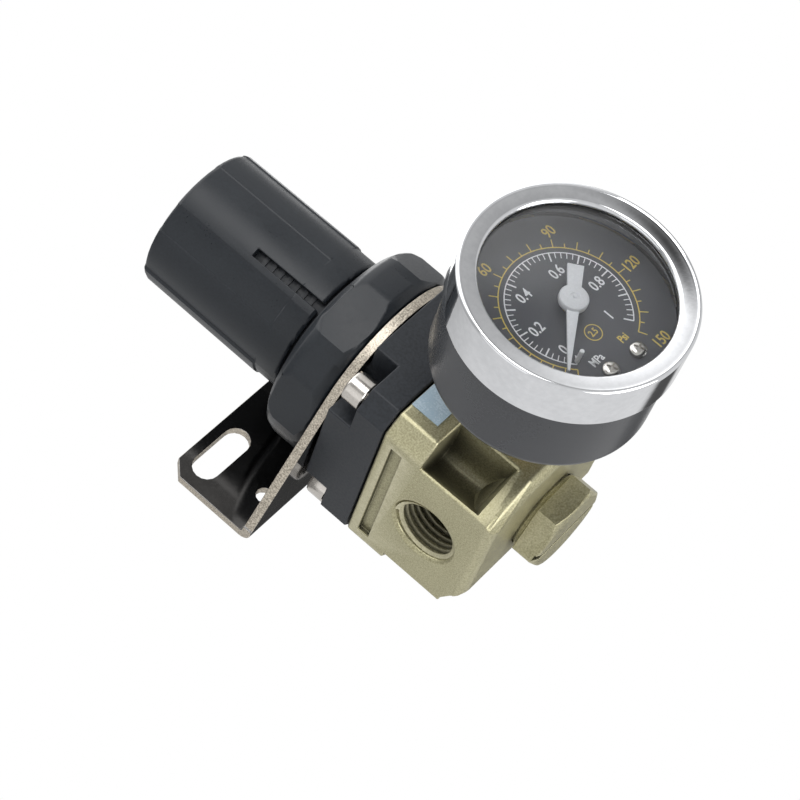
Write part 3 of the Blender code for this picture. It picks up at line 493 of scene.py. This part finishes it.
def arc(radius: float, start: float, end: float, steps: int,
        centre: Point2 = (0.0, 0.0)) -> list[Point2]:
    """Points on an arc, both ends included, with angles in degrees."""
    angles = [math.radians(start + (end - start) * i / steps) for i in range(steps + 1)]
    return [(centre[0] + radius * math.cos(a), centre[1] + radius * math.sin(a)) for a in angles]


def moved(mesh: bmesh.types.BMesh, by: Sequence[float], turn: float = 0.0) -> bmesh.types.BMesh:
    """Turns a mesh about Z by degrees, then moves it."""
    place = Matrix.Translation(by) @ Matrix.Rotation(math.radians(turn), 4, "Z")
    bmesh.ops.transform(mesh, matrix=place, verts=mesh.verts)
    return mesh


def linked(name: str, data: bpy.types.ID | None) -> bpy.types.Object:
    """Puts data in the scene as an object."""
    made = bpy.data.objects.new(name, data)
    bpy.context.scene.collection.objects.link(made)
    return made


def evaluated_mesh(source: bpy.types.Object) -> bmesh.types.BMesh:
    """An object's mesh with its modifiers or its curve carried out."""
    evaluated = source.evaluated_get(bpy.context.evaluated_depsgraph_get())
    mesh = bmesh.new()
    mesh.from_mesh(evaluated.to_mesh())
    evaluated.to_mesh_clear()
    return mesh


def to_object(name: str, mesh: bmesh.types.BMesh, look: str, facing: Facing = Facing.UP,
              smooth_angle: float = 32.0) -> bpy.types.Object:
    """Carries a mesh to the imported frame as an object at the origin.

    Args:
        name: the object's name.
        mesh: the mesh in millimetres in the design frame; it is freed.
        look: the finish's name.
        facing: which way the mesh's +Z points.
        smooth_angle: edges sharper than this stay sharp.

    Returns:
        The object.
    """
    bmesh.ops.transform(mesh, matrix=TO_FRAME @ facing.value, verts=mesh.verts)
    data = bpy.data.meshes.new(name)
    mesh.to_mesh(data)
    mesh.free()
    data.materials.append(LOOKS[look])
    data.shade_smooth()
    data.set_sharp_from_angle(angle=math.radians(smooth_angle))
    made = linked(name, data)
    flat = made.modifiers.new("flat_faces", "WEIGHTED_NORMAL")
    flat.mode = "FACE_AREA"
    flat.weight = 100
    flat.keep_sharp = True
    return made


def cad_copy(node: str) -> bmesh.types.BMesh:
    """A CAD node's mesh in millimetres in the design frame, merged and with flat faces joined."""
    mesh = bmesh.new()
    mesh.from_mesh(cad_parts[node].data)
    bmesh.ops.transform(mesh, matrix=TO_FRAME.inverted(), verts=mesh.verts)
    bmesh.ops.remove_doubles(mesh, verts=mesh.verts, dist=CAD_WELD)
    bmesh.ops.dissolve_limit(
        mesh, angle_limit=math.radians(CAD_FLAT), verts=mesh.verts, edges=mesh.edges,
        delimit={"NORMAL"},
    )
    return mesh


def combined(mesh: bmesh.types.BMesh, other: bmesh.types.BMesh,
             operation: Operation) -> bmesh.types.BMesh:
    """Joins or cuts a mesh with another through an exact Boolean.

    Args:
        mesh: the mesh to change; it is freed.
        other: the tool; it is freed.
        operation: whether the tool is joined on or cut away.

    Returns:
        The result.
    """
    objects = []
    for part in (mesh, other):
        data = bpy.data.meshes.new("boolean_part")
        part.to_mesh(data)
        part.free()
        objects.append(linked("boolean_part", data))
    modifier = objects[0].modifiers.new("boolean", "BOOLEAN")
    modifier.operation = operation.value
    modifier.object = objects[1]
    modifier.solver = "EXACT"
    result = evaluated_mesh(objects[0])
    for made in objects:
        data = made.data
        bpy.data.objects.remove(made)
        bpy.data.meshes.remove(data)
    return result


def settle(piece: bpy.types.Object, body: str, slot: str, *nodes: str) -> bpy.types.Object:
    """Rides a piece on its body and hides the nodes that it stands for."""
    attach(piece, body)
    if nodes:
        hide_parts(*nodes)
    LOG.info("%s rides on %s", piece.name, body)
    return piece


def lettering(text: str, height: float, centre: Point2, level: float,
              bold: float = 0.0) -> bmesh.types.BMesh:
    """Makes flat numerals or a unit as a thin raised mesh, upright and centred.

    Args:
        text: what to write.
        height: the height of a capital, in millimetres.
        centre: the middle of the text.
        level: the height at which it lies.
        bold: how far the outline is fattened, in millimetres.

    Returns:
        The text's mesh.
    """
    curve = bpy.data.curves.new("numerals", "FONT")
    curve.body = text
    curve.size = height / CAPITAL_SHARE
    curve.align_x = "CENTER"
    curve.align_y = "CENTER"
    curve.extrude = INK / 2
    curve.offset = bold
    curve.resolution_u = 4
    made = linked("numerals", curve)
    mesh = evaluated_mesh(made)
    bpy.data.objects.remove(made)
    bpy.data.curves.remove(curve)
    bmesh.ops.scale(mesh, vec=(LETTER_WIDTH, 1.0, 1.0), verts=mesh.verts)
    bmesh.ops.translate(mesh, vec=(*centre, level), verts=mesh.verts)
    bmesh.ops.remove_doubles(mesh, verts=mesh.verts, dist=WELD)
    return mesh


def merged(meshes: Iterable[bmesh.types.BMesh]) -> bmesh.types.BMesh:
    """Gathers several meshes into one, and frees them."""
    result = bmesh.new()
    for mesh in meshes:
        data = bpy.data.meshes.new("gathered")
        mesh.to_mesh(data)
        mesh.free()
        result.from_mesh(data)
        bpy.data.meshes.remove(data)
    return result


# ---------------------------------------------------------------------------------------------
# Sub-assemblies
# ---------------------------------------------------------------------------------------------


@dataclass
class PortBody:
    """The cast body with its threaded ports and the hex plug below."""

    edge: float = 0.2
    corner: float = 0.7
    port_face: float = 20.0
    thread_root: float = 6.62
    thread_crest: float = 5.85
    thread_pitch: float = 1.337
    thread_turns: float = 7.0
    thread_inset: float = 0.5
    thread_foot: float = 0.55
    thread_tip: float = 0.1
    thread_steps: int = 48
    plug_end: float = -18.0
    plug_edge: float = 0.15
    slot_reach: float = 12.0
    slot_width: float = 1.1
    slot_depth: float = 0.9

    def build(self) -> None:
        """Builds and places every piece of the group."""
        body = rounded(softened(cad_copy("body"), self.corner), self.edge, 2, 28)
        settle(to_object("body_casting", body, "gold_paint"), "housing", "gold_paint", "body")
        for name, facing in (("inlet_thread", Facing.INLET), ("outlet_thread", Facing.OUTLET)):
            thread = to_object(name, self._thread(), "gold_paint", facing)
            settle(thread, "housing", "gold_paint")
        plug = cad_copy("valve_plug")
        slot = bar(-self.slot_reach, self.slot_reach, self.slot_width, self.plug_end - 1,
                   self.plug_end + self.slot_depth)
        plug = rounded(combined(plug, slot, Operation.CUT), self.plug_edge, 2, 28)
        settle(to_object("hex_plug", plug, "gold_paint"), "housing", "gold_paint", "valve_plug")

    def _thread(self) -> bmesh.types.BMesh:
        """Helical ridge that stands on the port's wall."""
        mesh = bmesh.new()
        length = self.thread_turns * self.thread_pitch
        base = self.port_face - self.thread_inset - length
        section = [(self.thread_root, -self.thread_foot), (self.thread_crest, -self.thread_tip),
                   (self.thread_crest, self.thread_tip), (self.thread_root, self.thread_foot)]
        verts = [mesh.verts.new((radius, 0, base + height)) for radius, height in section]
        first = mesh.faces.new(verts)
        steps = int(self.thread_steps * self.thread_turns)
        bmesh.ops.spin(
            mesh, geom=[first] + list(mesh.edges) + verts, cent=(0, 0, 0), axis=(0, 0, 1),
            dvec=(0, 0, length / steps),
            angle=TURN * self.thread_turns, steps=steps, use_merge=False, use_duplicate=False,
        )
        bmesh.ops.recalc_face_normals(mesh, faces=mesh.faces)
        return mesh


@dataclass
class Bonnet:
    """The square bonnet, its neck under the knob and its four screws."""

    edge: float = 0.3
    screw_place: float = 16.2
    screw_floor: float = 20.8
    head_radius: float = 3.05
    head_height: float = 4.0
    shank_radius: float = 1.5
    shank_end: float = 7.4
    key_radius: float = 1.55
    key_depth: float = 1.8
    rib_direction: float = -115.3
    rib_root: float = 11.5
    rib_radius: float = 12.7
    rib_root_half: float = 1.6
    rib_half: float = 1.3
    rib_thickness: float = 0.9
    rib_pitch: float = 1.9
    rib_start: float = 42.0
    rib_count: int = 7

    def build(self) -> None:
        """Builds and places every piece of the group."""
        shell = rounded(cad_copy("bonnet"), self.edge, 2, 28)
        outline = [
            (self.rib_root, -self.rib_root_half), (self.rib_radius, -self.rib_half),
            (self.rib_radius, self.rib_half), (self.rib_root, self.rib_root_half),
        ]
        for number in range(self.rib_count):
            low = self.rib_start + number * self.rib_pitch
            rib = grown(outline, low, low + self.rib_thickness)
            shell = combined(shell, moved(rib, (0, 0, 0), self.rib_direction), Operation.JOIN)
        settle(to_object("bonnet_shell", shell, "cast_plastic"), "housing", "black_plastic",
               "bonnet")
        places = [(x, y) for x in (-1, 1) for y in (-1, 1)]
        for number, (x, y) in enumerate(places, start=1):
            screw = moved(self._screw(), (x * self.screw_place, y * self.screw_place, 0))
            settle(to_object(f"cap_screw_{number}", screw, "nickel"), "housing", "nickel",
                   f"bonnet_screw_{number}")

    def _screw(self) -> bmesh.types.BMesh:
        """Cheese-head screw with a hex recess."""
        top = self.screw_floor + self.head_height
        wide = self.head_radius
        screw = turned([
            (0, self.shank_end), (self.shank_radius, self.shank_end),
            (self.shank_radius, self.screw_floor), (wide - 0.15, self.screw_floor),
            (wide, self.screw_floor + 0.15), (wide, top - 0.6), (wide - 0.18, top - 0.2),
            (wide - 0.6, top), (0, top),
        ], 40)
        recess = grown(arc(self.key_radius, 0, 300, 5), top - self.key_depth, top + 1)
        return combined(screw, recess, Operation.CUT)


@dataclass
class Knob:
    """The push-lock knob."""

    edge: float = 0.16

    def build(self) -> None:
        """Builds and places the knob."""
        knob = rounded(cad_copy("knob"), self.edge, 2, 24)
        settle(to_object("setting_knob", knob, "black_plastic"), "grip", "black_plastic", "knob")


@dataclass
class PanelMount:
    """The panel nut and the wall bracket that it clamps."""

    nut_edge: float = 0.35
    bracket_edge: float = 0.14
    bend_top: float = 29.0
    bend_front: float = 19.5

    def build(self) -> None:
        """Builds and places the nut and the bracket."""
        nut = rounded(cad_copy("panel_nut"), self.nut_edge, 2, 25)
        settle(to_object("ring_nut", nut, "black_plastic"), "housing", "black_plastic",
               "panel_nut")
        bracket = rounded(cad_copy("bracket"), self.bracket_edge, 2, 35)
        bracket.normal_update()
        for face in bracket.faces:
            face.material_index = int(self._is_sheared(face))
        plate = to_object("wall_bracket", bracket, "dark_nickel")
        plate.data.materials.append(LOOKS["sheared_edge"])
        settle(plate, "housing", "nickel", "bracket")

    def _is_sheared(self, face: bmesh.types.BMFace) -> bool:
        """Whether a face of the bracket belongs to the sheet's cut edge.

        The foot above the bend faces front and back, the plate in front of it up and down.
        """
        centre = face.calc_center_median()
        across, along, up = (abs(value) for value in face.normal)
        if centre.z > self.bend_top:
            return along < 0.5
        return across > 0.5 or (up < 0.5 and centre.y < self.bend_front)


@dataclass
class Gauge:
    """The pressure gauge: shell, lens, dial marks and pointer.

    Sections are pairs of radius and distance in front of the main axis.
    """

    case_section: Profile = (
        (5.4, 33.2), (18.0, 33.2), (18.9, 33.35), (19.5, 33.8), (19.9, 34.5), (20.0, 35.2),
        (20.0, 50.0), (18.8, 50.0), (18.8, 35.4), (5.4, 35.4),
    )
    bezel_section: Profile = (
        (20.3, 49.2), (20.7, 49.2), (20.85, 49.3), (20.9, 49.5), (20.9, 58.1), (20.86, 58.4),
        (20.72, 58.65), (20.5, 58.8), (20.3, 58.82), (20.1, 58.72), (19.95, 58.66),
        (19.6, 58.7), (17.75, 58.42), (17.45, 58.3), (17.2, 58.05), (17.1, 57.75),
        (17.1, 57.6), (19.1, 57.6), (19.1, 50.3), (20.3, 50.3),
    )
    lens_section: Profile = (
        (0, 57.6), (6, 57.5), (12, 57.2), (17.0, 56.7), (18.8, 56.4), (18.8, 57.3),
        (17.0, 57.5), (12, 58.0), (6, 58.3), (0, 58.4),
    )
    dial_level: float = 51.6
    print_gap: float = 0.02
    band_width: float = 0.2
    pressure_radius: float = 11.07
    psi_radius: float = 12.10
    psi_number_radius: float = 15.3
    psi_last_extra: float = 0.9
    psi_full: int = 150
    zero: float = 225.0
    sweep_per_mpa: float = 279.6
    sweep_per_psi: float = 1.9277
    class_place: Point2 = (-0.7, -5.8)
    class_ring: Point2 = (1.45, 1.62)
    pointer_rest: float = 215.0
    pointer_level: float = 53.9
    pointer_reach: float = 14.3
    pointer_tail: float = 7.0
    boss_radius: float = 2.6
    screw_shank: float = 0.6
    screw_end: float = 47.2
    screw_places: tuple[Point2, ...] = ((-4.7, -12.5), (1.9, -13.2))
    mpa_numbers: dict[str, Point2] = field(default_factory=lambda: {
        "0": (-7.2, -4.6), "0.2": (-7.5, 1.0), "0.4": (-4.0, 6.6), "0.6": (4.1, 5.9),
        "0.8": (7.5, -0.2), "1": (4.1, -5.5),
    })

    def build(self) -> None:
        """Builds and places every piece of the group."""
        self._shell()
        self._white_scale()
        self._yellow_scale()
        self._pointer()
        self._screws()

    def _shell(self) -> None:
        """Case, bezel and lens."""
        case = turned(self.case_section, 144, True)
        settle(to_object("case_shell", case, "case_paint", Facing.GAUGE), "housing",
               "black_plastic", "gauge_case")
        bezel = turned(self.bezel_section, 160, True)
        settle(to_object("bezel_ring", bezel, "chrome", Facing.GAUGE), "housing", "chrome",
               "gauge_bezel")
        lens = turned(self.lens_section, 96)
        settle(to_object("lens_dome", lens, "clear_lens", Facing.GAUGE, 60), "housing",
               "clear_lens", "gauge_lens")

    def _white_scale(self) -> None:
        """Pressure scale from 0 to 1 MPa, inside its arc."""
        level = self.dial_level + self.print_gap
        white = [self._band(self.pressure_radius, self.sweep_per_mpa, level)]
        for step in range(51):
            length, width = (-1.75, 0.26) if step % 5 == 0 else (-1.15, 0.16)
            white.append(self._tick(step * self.sweep_per_mpa / 50, self.pressure_radius,
                                    length, width, level))
        for value, place in self.mpa_numbers.items():
            white.append(lettering(value, 2.05, place, level, 0.045))
        white.append(lettering("MPa", 1.55, (-4.6, -9.6), level, 0.04))
        settle(to_object("scale_white", merged(white), "white_paint", Facing.GAUGE), "housing",
               "white_paint")

    def _yellow_scale(self) -> None:
        """Pressure scale from 0 to 150 psi, outside its arc, and the accuracy class."""
        level = self.dial_level + self.print_gap
        yellow = [self._band(self.psi_radius, self.psi_full * self.sweep_per_psi, level)]
        for step in range(31):
            length = 1.6 if step % 2 == 0 else 0.85
            yellow.append(self._tick(step * 5 * self.sweep_per_psi, self.psi_radius, length,
                                     0.18, level))
        for value in range(0, self.psi_full + 1, 30):
            extra = self.psi_last_extra if value == self.psi_full else 0.0
            yellow.append(self._number(str(value), value * self.sweep_per_psi,
                                       self.psi_number_radius + extra, 2.1, level))
        yellow.append(lettering("Psi", 1.5, (2.3, -9.9), level, 0.04))
        yellow.append(lettering("2.5", 1.25, self.class_place, level, 0.03))
        near, far = self.class_ring
        ring = turned([(near, level - 0.01), (far, level - 0.01), (far, level + 0.02),
                       (near, level + 0.02)], 40, True)
        yellow.append(moved(ring, (*self.class_place, 0)))
        settle(to_object("scale_yellow", merged(yellow), "yellow_ink", Facing.GAUGE), "housing",
               "white_paint")

    def _band(self, radius: float, sweep: float, level: float) -> bmesh.types.BMesh:
        """Thin arc of a scale, running clockwise from the zero mark."""
        outer = arc(radius + self.band_width / 2, self.zero, self.zero - sweep, 90)
        inner = arc(radius - self.band_width / 2, self.zero - sweep, self.zero, 90)
        return grown(outer + inner, level - 0.01, level + 0.02)

    def _tick(self, turn: float, radius: float, length: float, width: float,
              level: float) -> bmesh.types.BMesh:
        """One mark across the scale; a negative length runs inwards."""
        near, far = sorted((radius, radius + length))
        mark = bar(near, far, width, level - 0.01, level + 0.025)
        return moved(mark, (0, 0, 0), self.zero - turn)

    def _number(self, text: str, turn: float, radius: float, height: float,
                level: float) -> bmesh.types.BMesh:
        """One numeral, upright on the dial."""
        angle = math.radians(self.zero - turn)
        return lettering(text, height, (radius * math.cos(angle), radius * math.sin(angle)),
                         level, 0.035)

    def _pointer(self) -> None:
        """White pointer: narrow tip, broad tail and a domed boss."""
        low = self.pointer_level
        wide = self.boss_radius
        blade = grown([
            (-self.pointer_tail, -1.42), (-1.6, -1.15), (1.6, -1.1), (self.pointer_reach, -0.2),
            (self.pointer_reach, 0.2), (1.6, 1.1), (-1.6, 1.15), (-self.pointer_tail, 1.42),
        ], low, low + 0.5)
        boss = turned([
            (0, low - 0.2), (wide, low - 0.2), (wide, low + 0.75), (wide - 0.15, low + 1.0),
            (wide - 0.5, low + 1.15), (0.75, low + 1.25), (0.65, low + 1.1),
            (0.35, low + 1.1), (0.3, low + 1.45), (0, low + 1.5),
        ], 56)
        pointer = rounded(combined(blade, boss, Operation.JOIN), 0.06, 2, 40)
        settle(to_object("pointer_blade", moved(pointer, (0, 0, 0), self.pointer_rest),
                         "pointer_paint", Facing.GAUGE), "pointer_shaft", "white_paint", "pointer")

    def _screws(self) -> None:
        """Cross-head screws that hold the dial."""
        level = self.dial_level + 0.2
        for number, place in enumerate(self.screw_places, start=1):
            head = turned([
                (0, self.screw_end), (self.screw_shank, self.screw_end),
                (self.screw_shank, level), (1.5, level), (1.58, level + 0.3),
                (1.5, level + 0.75), (1.2, level + 1.05), (0.7, level + 1.2), (0, level + 1.25),
            ], 36)
            for turn in (20, 110):
                slot = bar(-1.0, 1.0, 0.4, level + 0.5, level + 2)
                head = combined(head, moved(slot, (0, 0, 0), turn), Operation.CUT)
            settle(to_object(f"dial_fixing_{number}", moved(head, (*place, 0)), "nickel",
                             Facing.GAUGE), "housing", "nickel", f"dial_screw_{number}")


@dataclass
class CarriedNodes:
    """CAD nodes that keep their own shape and take a finish."""

    looks: dict[str, str] = field(default_factory=lambda: {
        "label": "label_film", "rear_port_plug": "nickel", "gauge_socket": "brass",
        "lens_gasket": "rubber", "gauge_dial": "dial_black", "pointer_stop": "white_paint",
        "pointer_arbor": "steel", "sector_gear": "brass", "link": "steel",
        "bourdon_tube": "brass", "movement_plate_back": "brass",
        "movement_plate_front": "brass", "hairspring": "steel", "plug_o_ring": "rubber",
        "valve_spring": "steel", "valve_poppet": "brass", "valve_seal": "rubber",
        "diaphragm": "rubber", "diaphragm_hub": "brass", "diaphragm_plate": "steel",
        "main_spring": "steel", "adjusting_nut": "brass", "adjusting_screw": "steel",
    })

    def dress(self) -> None:
        """Gives each node its material."""
        for node, look in self.looks.items():
            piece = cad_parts[node]
            piece.data.materials.clear()
            piece.data.materials.append(LOOKS[look])
            LOG.info("%s keeps its shape in %s", node, look)


# ---------------------------------------------------------------------------------------------
# Studio
# ---------------------------------------------------------------------------------------------


@dataclass(frozen=True)
class Lamp:
    """A square soft light, with its place and size in millimetres and its power in watts."""

    name: str
    place: Sequence[float]
    size: float
    power: float


@dataclass(frozen=True)
class Flag:
    """A dark card far off: dark within one angle from a direction, gone beyond another."""

    towards: Sequence[float]
    dark_within: float
    clear_beyond: float


@dataclass
class Studio:
    """Pale floor, soft light and the camera."""

    camera_at: Sequence[float] = (-253.6, -392.9, -78.7)
    camera_turn: Sequence[float] = (108.2225, 48.1802, -18.8553)
    lens: float = 117.61
    sensor: float = 36.0
    floor_half: float = 3.0
    floor_gap: float = 0.0002
    floor_grey: float = 0.86
    aim_at: Sequence[float] = (0, -15, 25)
    lamps: Sequence[Lamp] = (
        Lamp("key", (-120, -800, 170), 450, 2.2),
        Lamp("top", (-60, -480, 700), 700, 1.6),
        Lamp("fill", (-700, -250, 150), 600, 0.4),
        Lamp("rim", (450, 350, 500), 600, 1.5),
        Lamp("under", (-60, -250, -600), 500, 2.8),
    )
    flags: Sequence[Flag] = (
        Flag((0.40, -0.885, 0.24), 5.0, 8.0),
        Flag((0.49, 0.84, -0.24), 7.0, 11.0),
    )
    flag_shade: float = 0.1
    sky_axis: Sequence[float] = (0.30, -0.35, 0.89)
    sky_stops: Sequence[Point2] = (
        (0.0, 0.8), (0.2, 0.8), (0.5, 0.72), (0.6, 0.6), (0.68, 0.42), (0.80, 0.55),
        (0.86, 1.1), (0.92, 1.7), (1.0, 2.0),
    )

    def build(self) -> None:
        """Makes the camera, the floor, the world and the lights."""
        self._camera()
        self._floor()
        self._world()
        for lamp in self.lamps:
            self._light(lamp)

    def _camera(self) -> None:
        """Camera that sees the dial, the inlet port and the hex plug from below the front."""
        data = bpy.data.cameras.new("camera")
        data.lens = self.lens
        data.sensor_width = self.sensor
        camera = linked("camera", data)
        camera.location = TO_FRAME @ Vector(self.camera_at)
        camera.rotation_euler = [math.radians(angle) for angle in self.camera_turn]
        bpy.context.scene.camera = camera

    def _floor(self) -> None:
        """Pale floor that can be looked through from below."""
        mesh = bmesh.new()
        bmesh.ops.create_grid(mesh, x_segments=1, y_segments=1, size=self.floor_half)
        level = CAD_BOX[0][2] - self.floor_gap
        bmesh.ops.translate(mesh, vec=(0, 0, level), verts=mesh.verts)
        data = bpy.data.meshes.new("floor")
        mesh.to_mesh(data)
        mesh.free()
        data.materials.append(self._floor_look())
        linked("floor", data)

    def _floor_look(self) -> bpy.types.Material:
        """Matt pale grey that is clear from below, and to shadow and glossy rays."""
        look = bpy.data.materials.new("pale_floor")
        look.use_nodes = True
        tree = look.node_tree
        shader = tree.nodes["Principled BSDF"]
        shader.inputs["Base Color"].default_value = (*[self.floor_grey] * 3, 1.0)
        shader.inputs["Roughness"].default_value = 0.9
        clear = tree.nodes.new("ShaderNodeBsdfTransparent")
        side = tree.nodes.new("ShaderNodeNewGeometry")
        rays = tree.nodes.new("ShaderNodeLightPath")
        unseen = add_math(tree, "MAXIMUM", rays.outputs["Is Shadow Ray"],
                          rays.outputs["Is Glossy Ray"])
        either = add_math(tree, "MAXIMUM", side.outputs["Backfacing"], unseen)
        self._blend_shaders(tree, either, shader.outputs["BSDF"], clear.outputs["BSDF"],
                            tree.nodes["Material Output"])
        return look

    @staticmethod
    def _blend_shaders(tree: bpy.types.NodeTree, share: bpy.types.NodeSocket,
                       first: bpy.types.NodeSocket, second: bpy.types.NodeSocket,
                       output: bpy.types.Node) -> None:
        """Feeds an output with the second of two shaders, as far as the share says."""
        mix = tree.nodes.new("ShaderNodeMixShader")
        tree.links.new(share, mix.inputs["Fac"])
        tree.links.new(first, mix.inputs[1])
        tree.links.new(second, mix.inputs[2])
        tree.links.new(mix.outputs["Shader"], output.inputs["Surface"])

    def _world(self) -> None:
        """White to the camera; what reflects is a band of light above a greyer ground."""
        world = bpy.data.worlds.new("studio")
        world.use_nodes = True
        bpy.context.scene.world = world
        tree = world.node_tree
        place = tree.nodes.new("ShaderNodeTexCoord").outputs["Generated"]
        colour = self._ramp(tree, place, self.sky_axis, self.sky_stops)
        for flag in self.flags:
            stops = ((0.0, 1.0), (self._spread(flag.clear_beyond), 1.0),
                     (self._spread(flag.dark_within), self.flag_shade), (1.0, self.flag_shade))
            shade = tree.nodes.new("ShaderNodeMix")
            shade.data_type = "RGBA"
            shade.blend_type = "MULTIPLY"
            shade.inputs["Factor"].default_value = 1.0
            tree.links.new(colour, shade.inputs["A"])
            tree.links.new(self._ramp(tree, place, flag.towards, stops), shade.inputs["B"])
            colour = shade.outputs["Result"]
        lit = tree.nodes["Background"]
        tree.links.new(colour, lit.inputs["Color"])
        plain = tree.nodes.new("ShaderNodeBackground")
        plain.inputs["Color"].default_value = (1.0, 1.0, 1.0, 1.0)
        rays = tree.nodes.new("ShaderNodeLightPath")
        self._blend_shaders(tree, rays.outputs["Is Camera Ray"], lit.outputs["Background"],
                            plain.outputs["Background"], tree.nodes["World Output"])

    @staticmethod
    def _spread(degrees: float) -> float:
        """Ramp position of the ring this many degrees from the ramp's direction."""
        return (math.cos(math.radians(degrees)) + 1) / 2

    @staticmethod
    def _ramp(tree: bpy.types.NodeTree, place: bpy.types.NodeSocket, towards: Sequence[float],
              stops: Sequence[Point2]) -> bpy.types.NodeSocket:
        """Grey brightness over the angle from a direction.

        Args:
            tree: the world's node tree.
            place: the texture coordinates.
            towards: the direction where the ramp ends.
            stops: pairs of ramp position, 0 behind to 1 in front, and brightness.

        Returns:
            The ramp's colour socket.
        """
        axis = tree.nodes.new("ShaderNodeVectorMath")
        axis.operation = "DOT_PRODUCT"
        axis.inputs[1].default_value = Vector(towards).normalized()
        tree.links.new(place, axis.inputs[0])
        ramp = tree.nodes.new("ShaderNodeValToRGB")
        for index, (position, value) in enumerate(stops):
            element = (ramp.color_ramp.elements[index] if index < 2
                       else ramp.color_ramp.elements.new(position))
            element.position = position
            element.color = (value, value, value, 1.0)
        tree.links.new(add_range(tree, axis.outputs["Value"], (-1.0, 1.0)), ramp.inputs["Fac"])
        return ramp.outputs["Color"]

    def _light(self, lamp: Lamp) -> None:
        """Makes one lamp, aimed at the object."""
        data = bpy.data.lights.new(lamp.name, "AREA")
        data.size = lamp.size * MM
        data.energy = lamp.power
        made = linked(lamp.name, data)
        made.location = TO_FRAME @ Vector(lamp.place)
        aim = TO_FRAME @ Vector(self.aim_at) - made.location
        made.rotation_euler = aim.to_track_quat("-Z", "Y").to_euler()


def main() -> None:
    """Builds every group."""
    logging.basicConfig(level=logging.INFO, format="%(name)s: %(message)s")
    for group in (PortBody(), Bonnet(), Knob(), PanelMount(), Gauge()):
        group.build()
    CarriedNodes().dress()
    Studio().build()
    bpy.context.scene.view_settings.view_transform = "Standard"


if __name__ == "__main__":
    main()
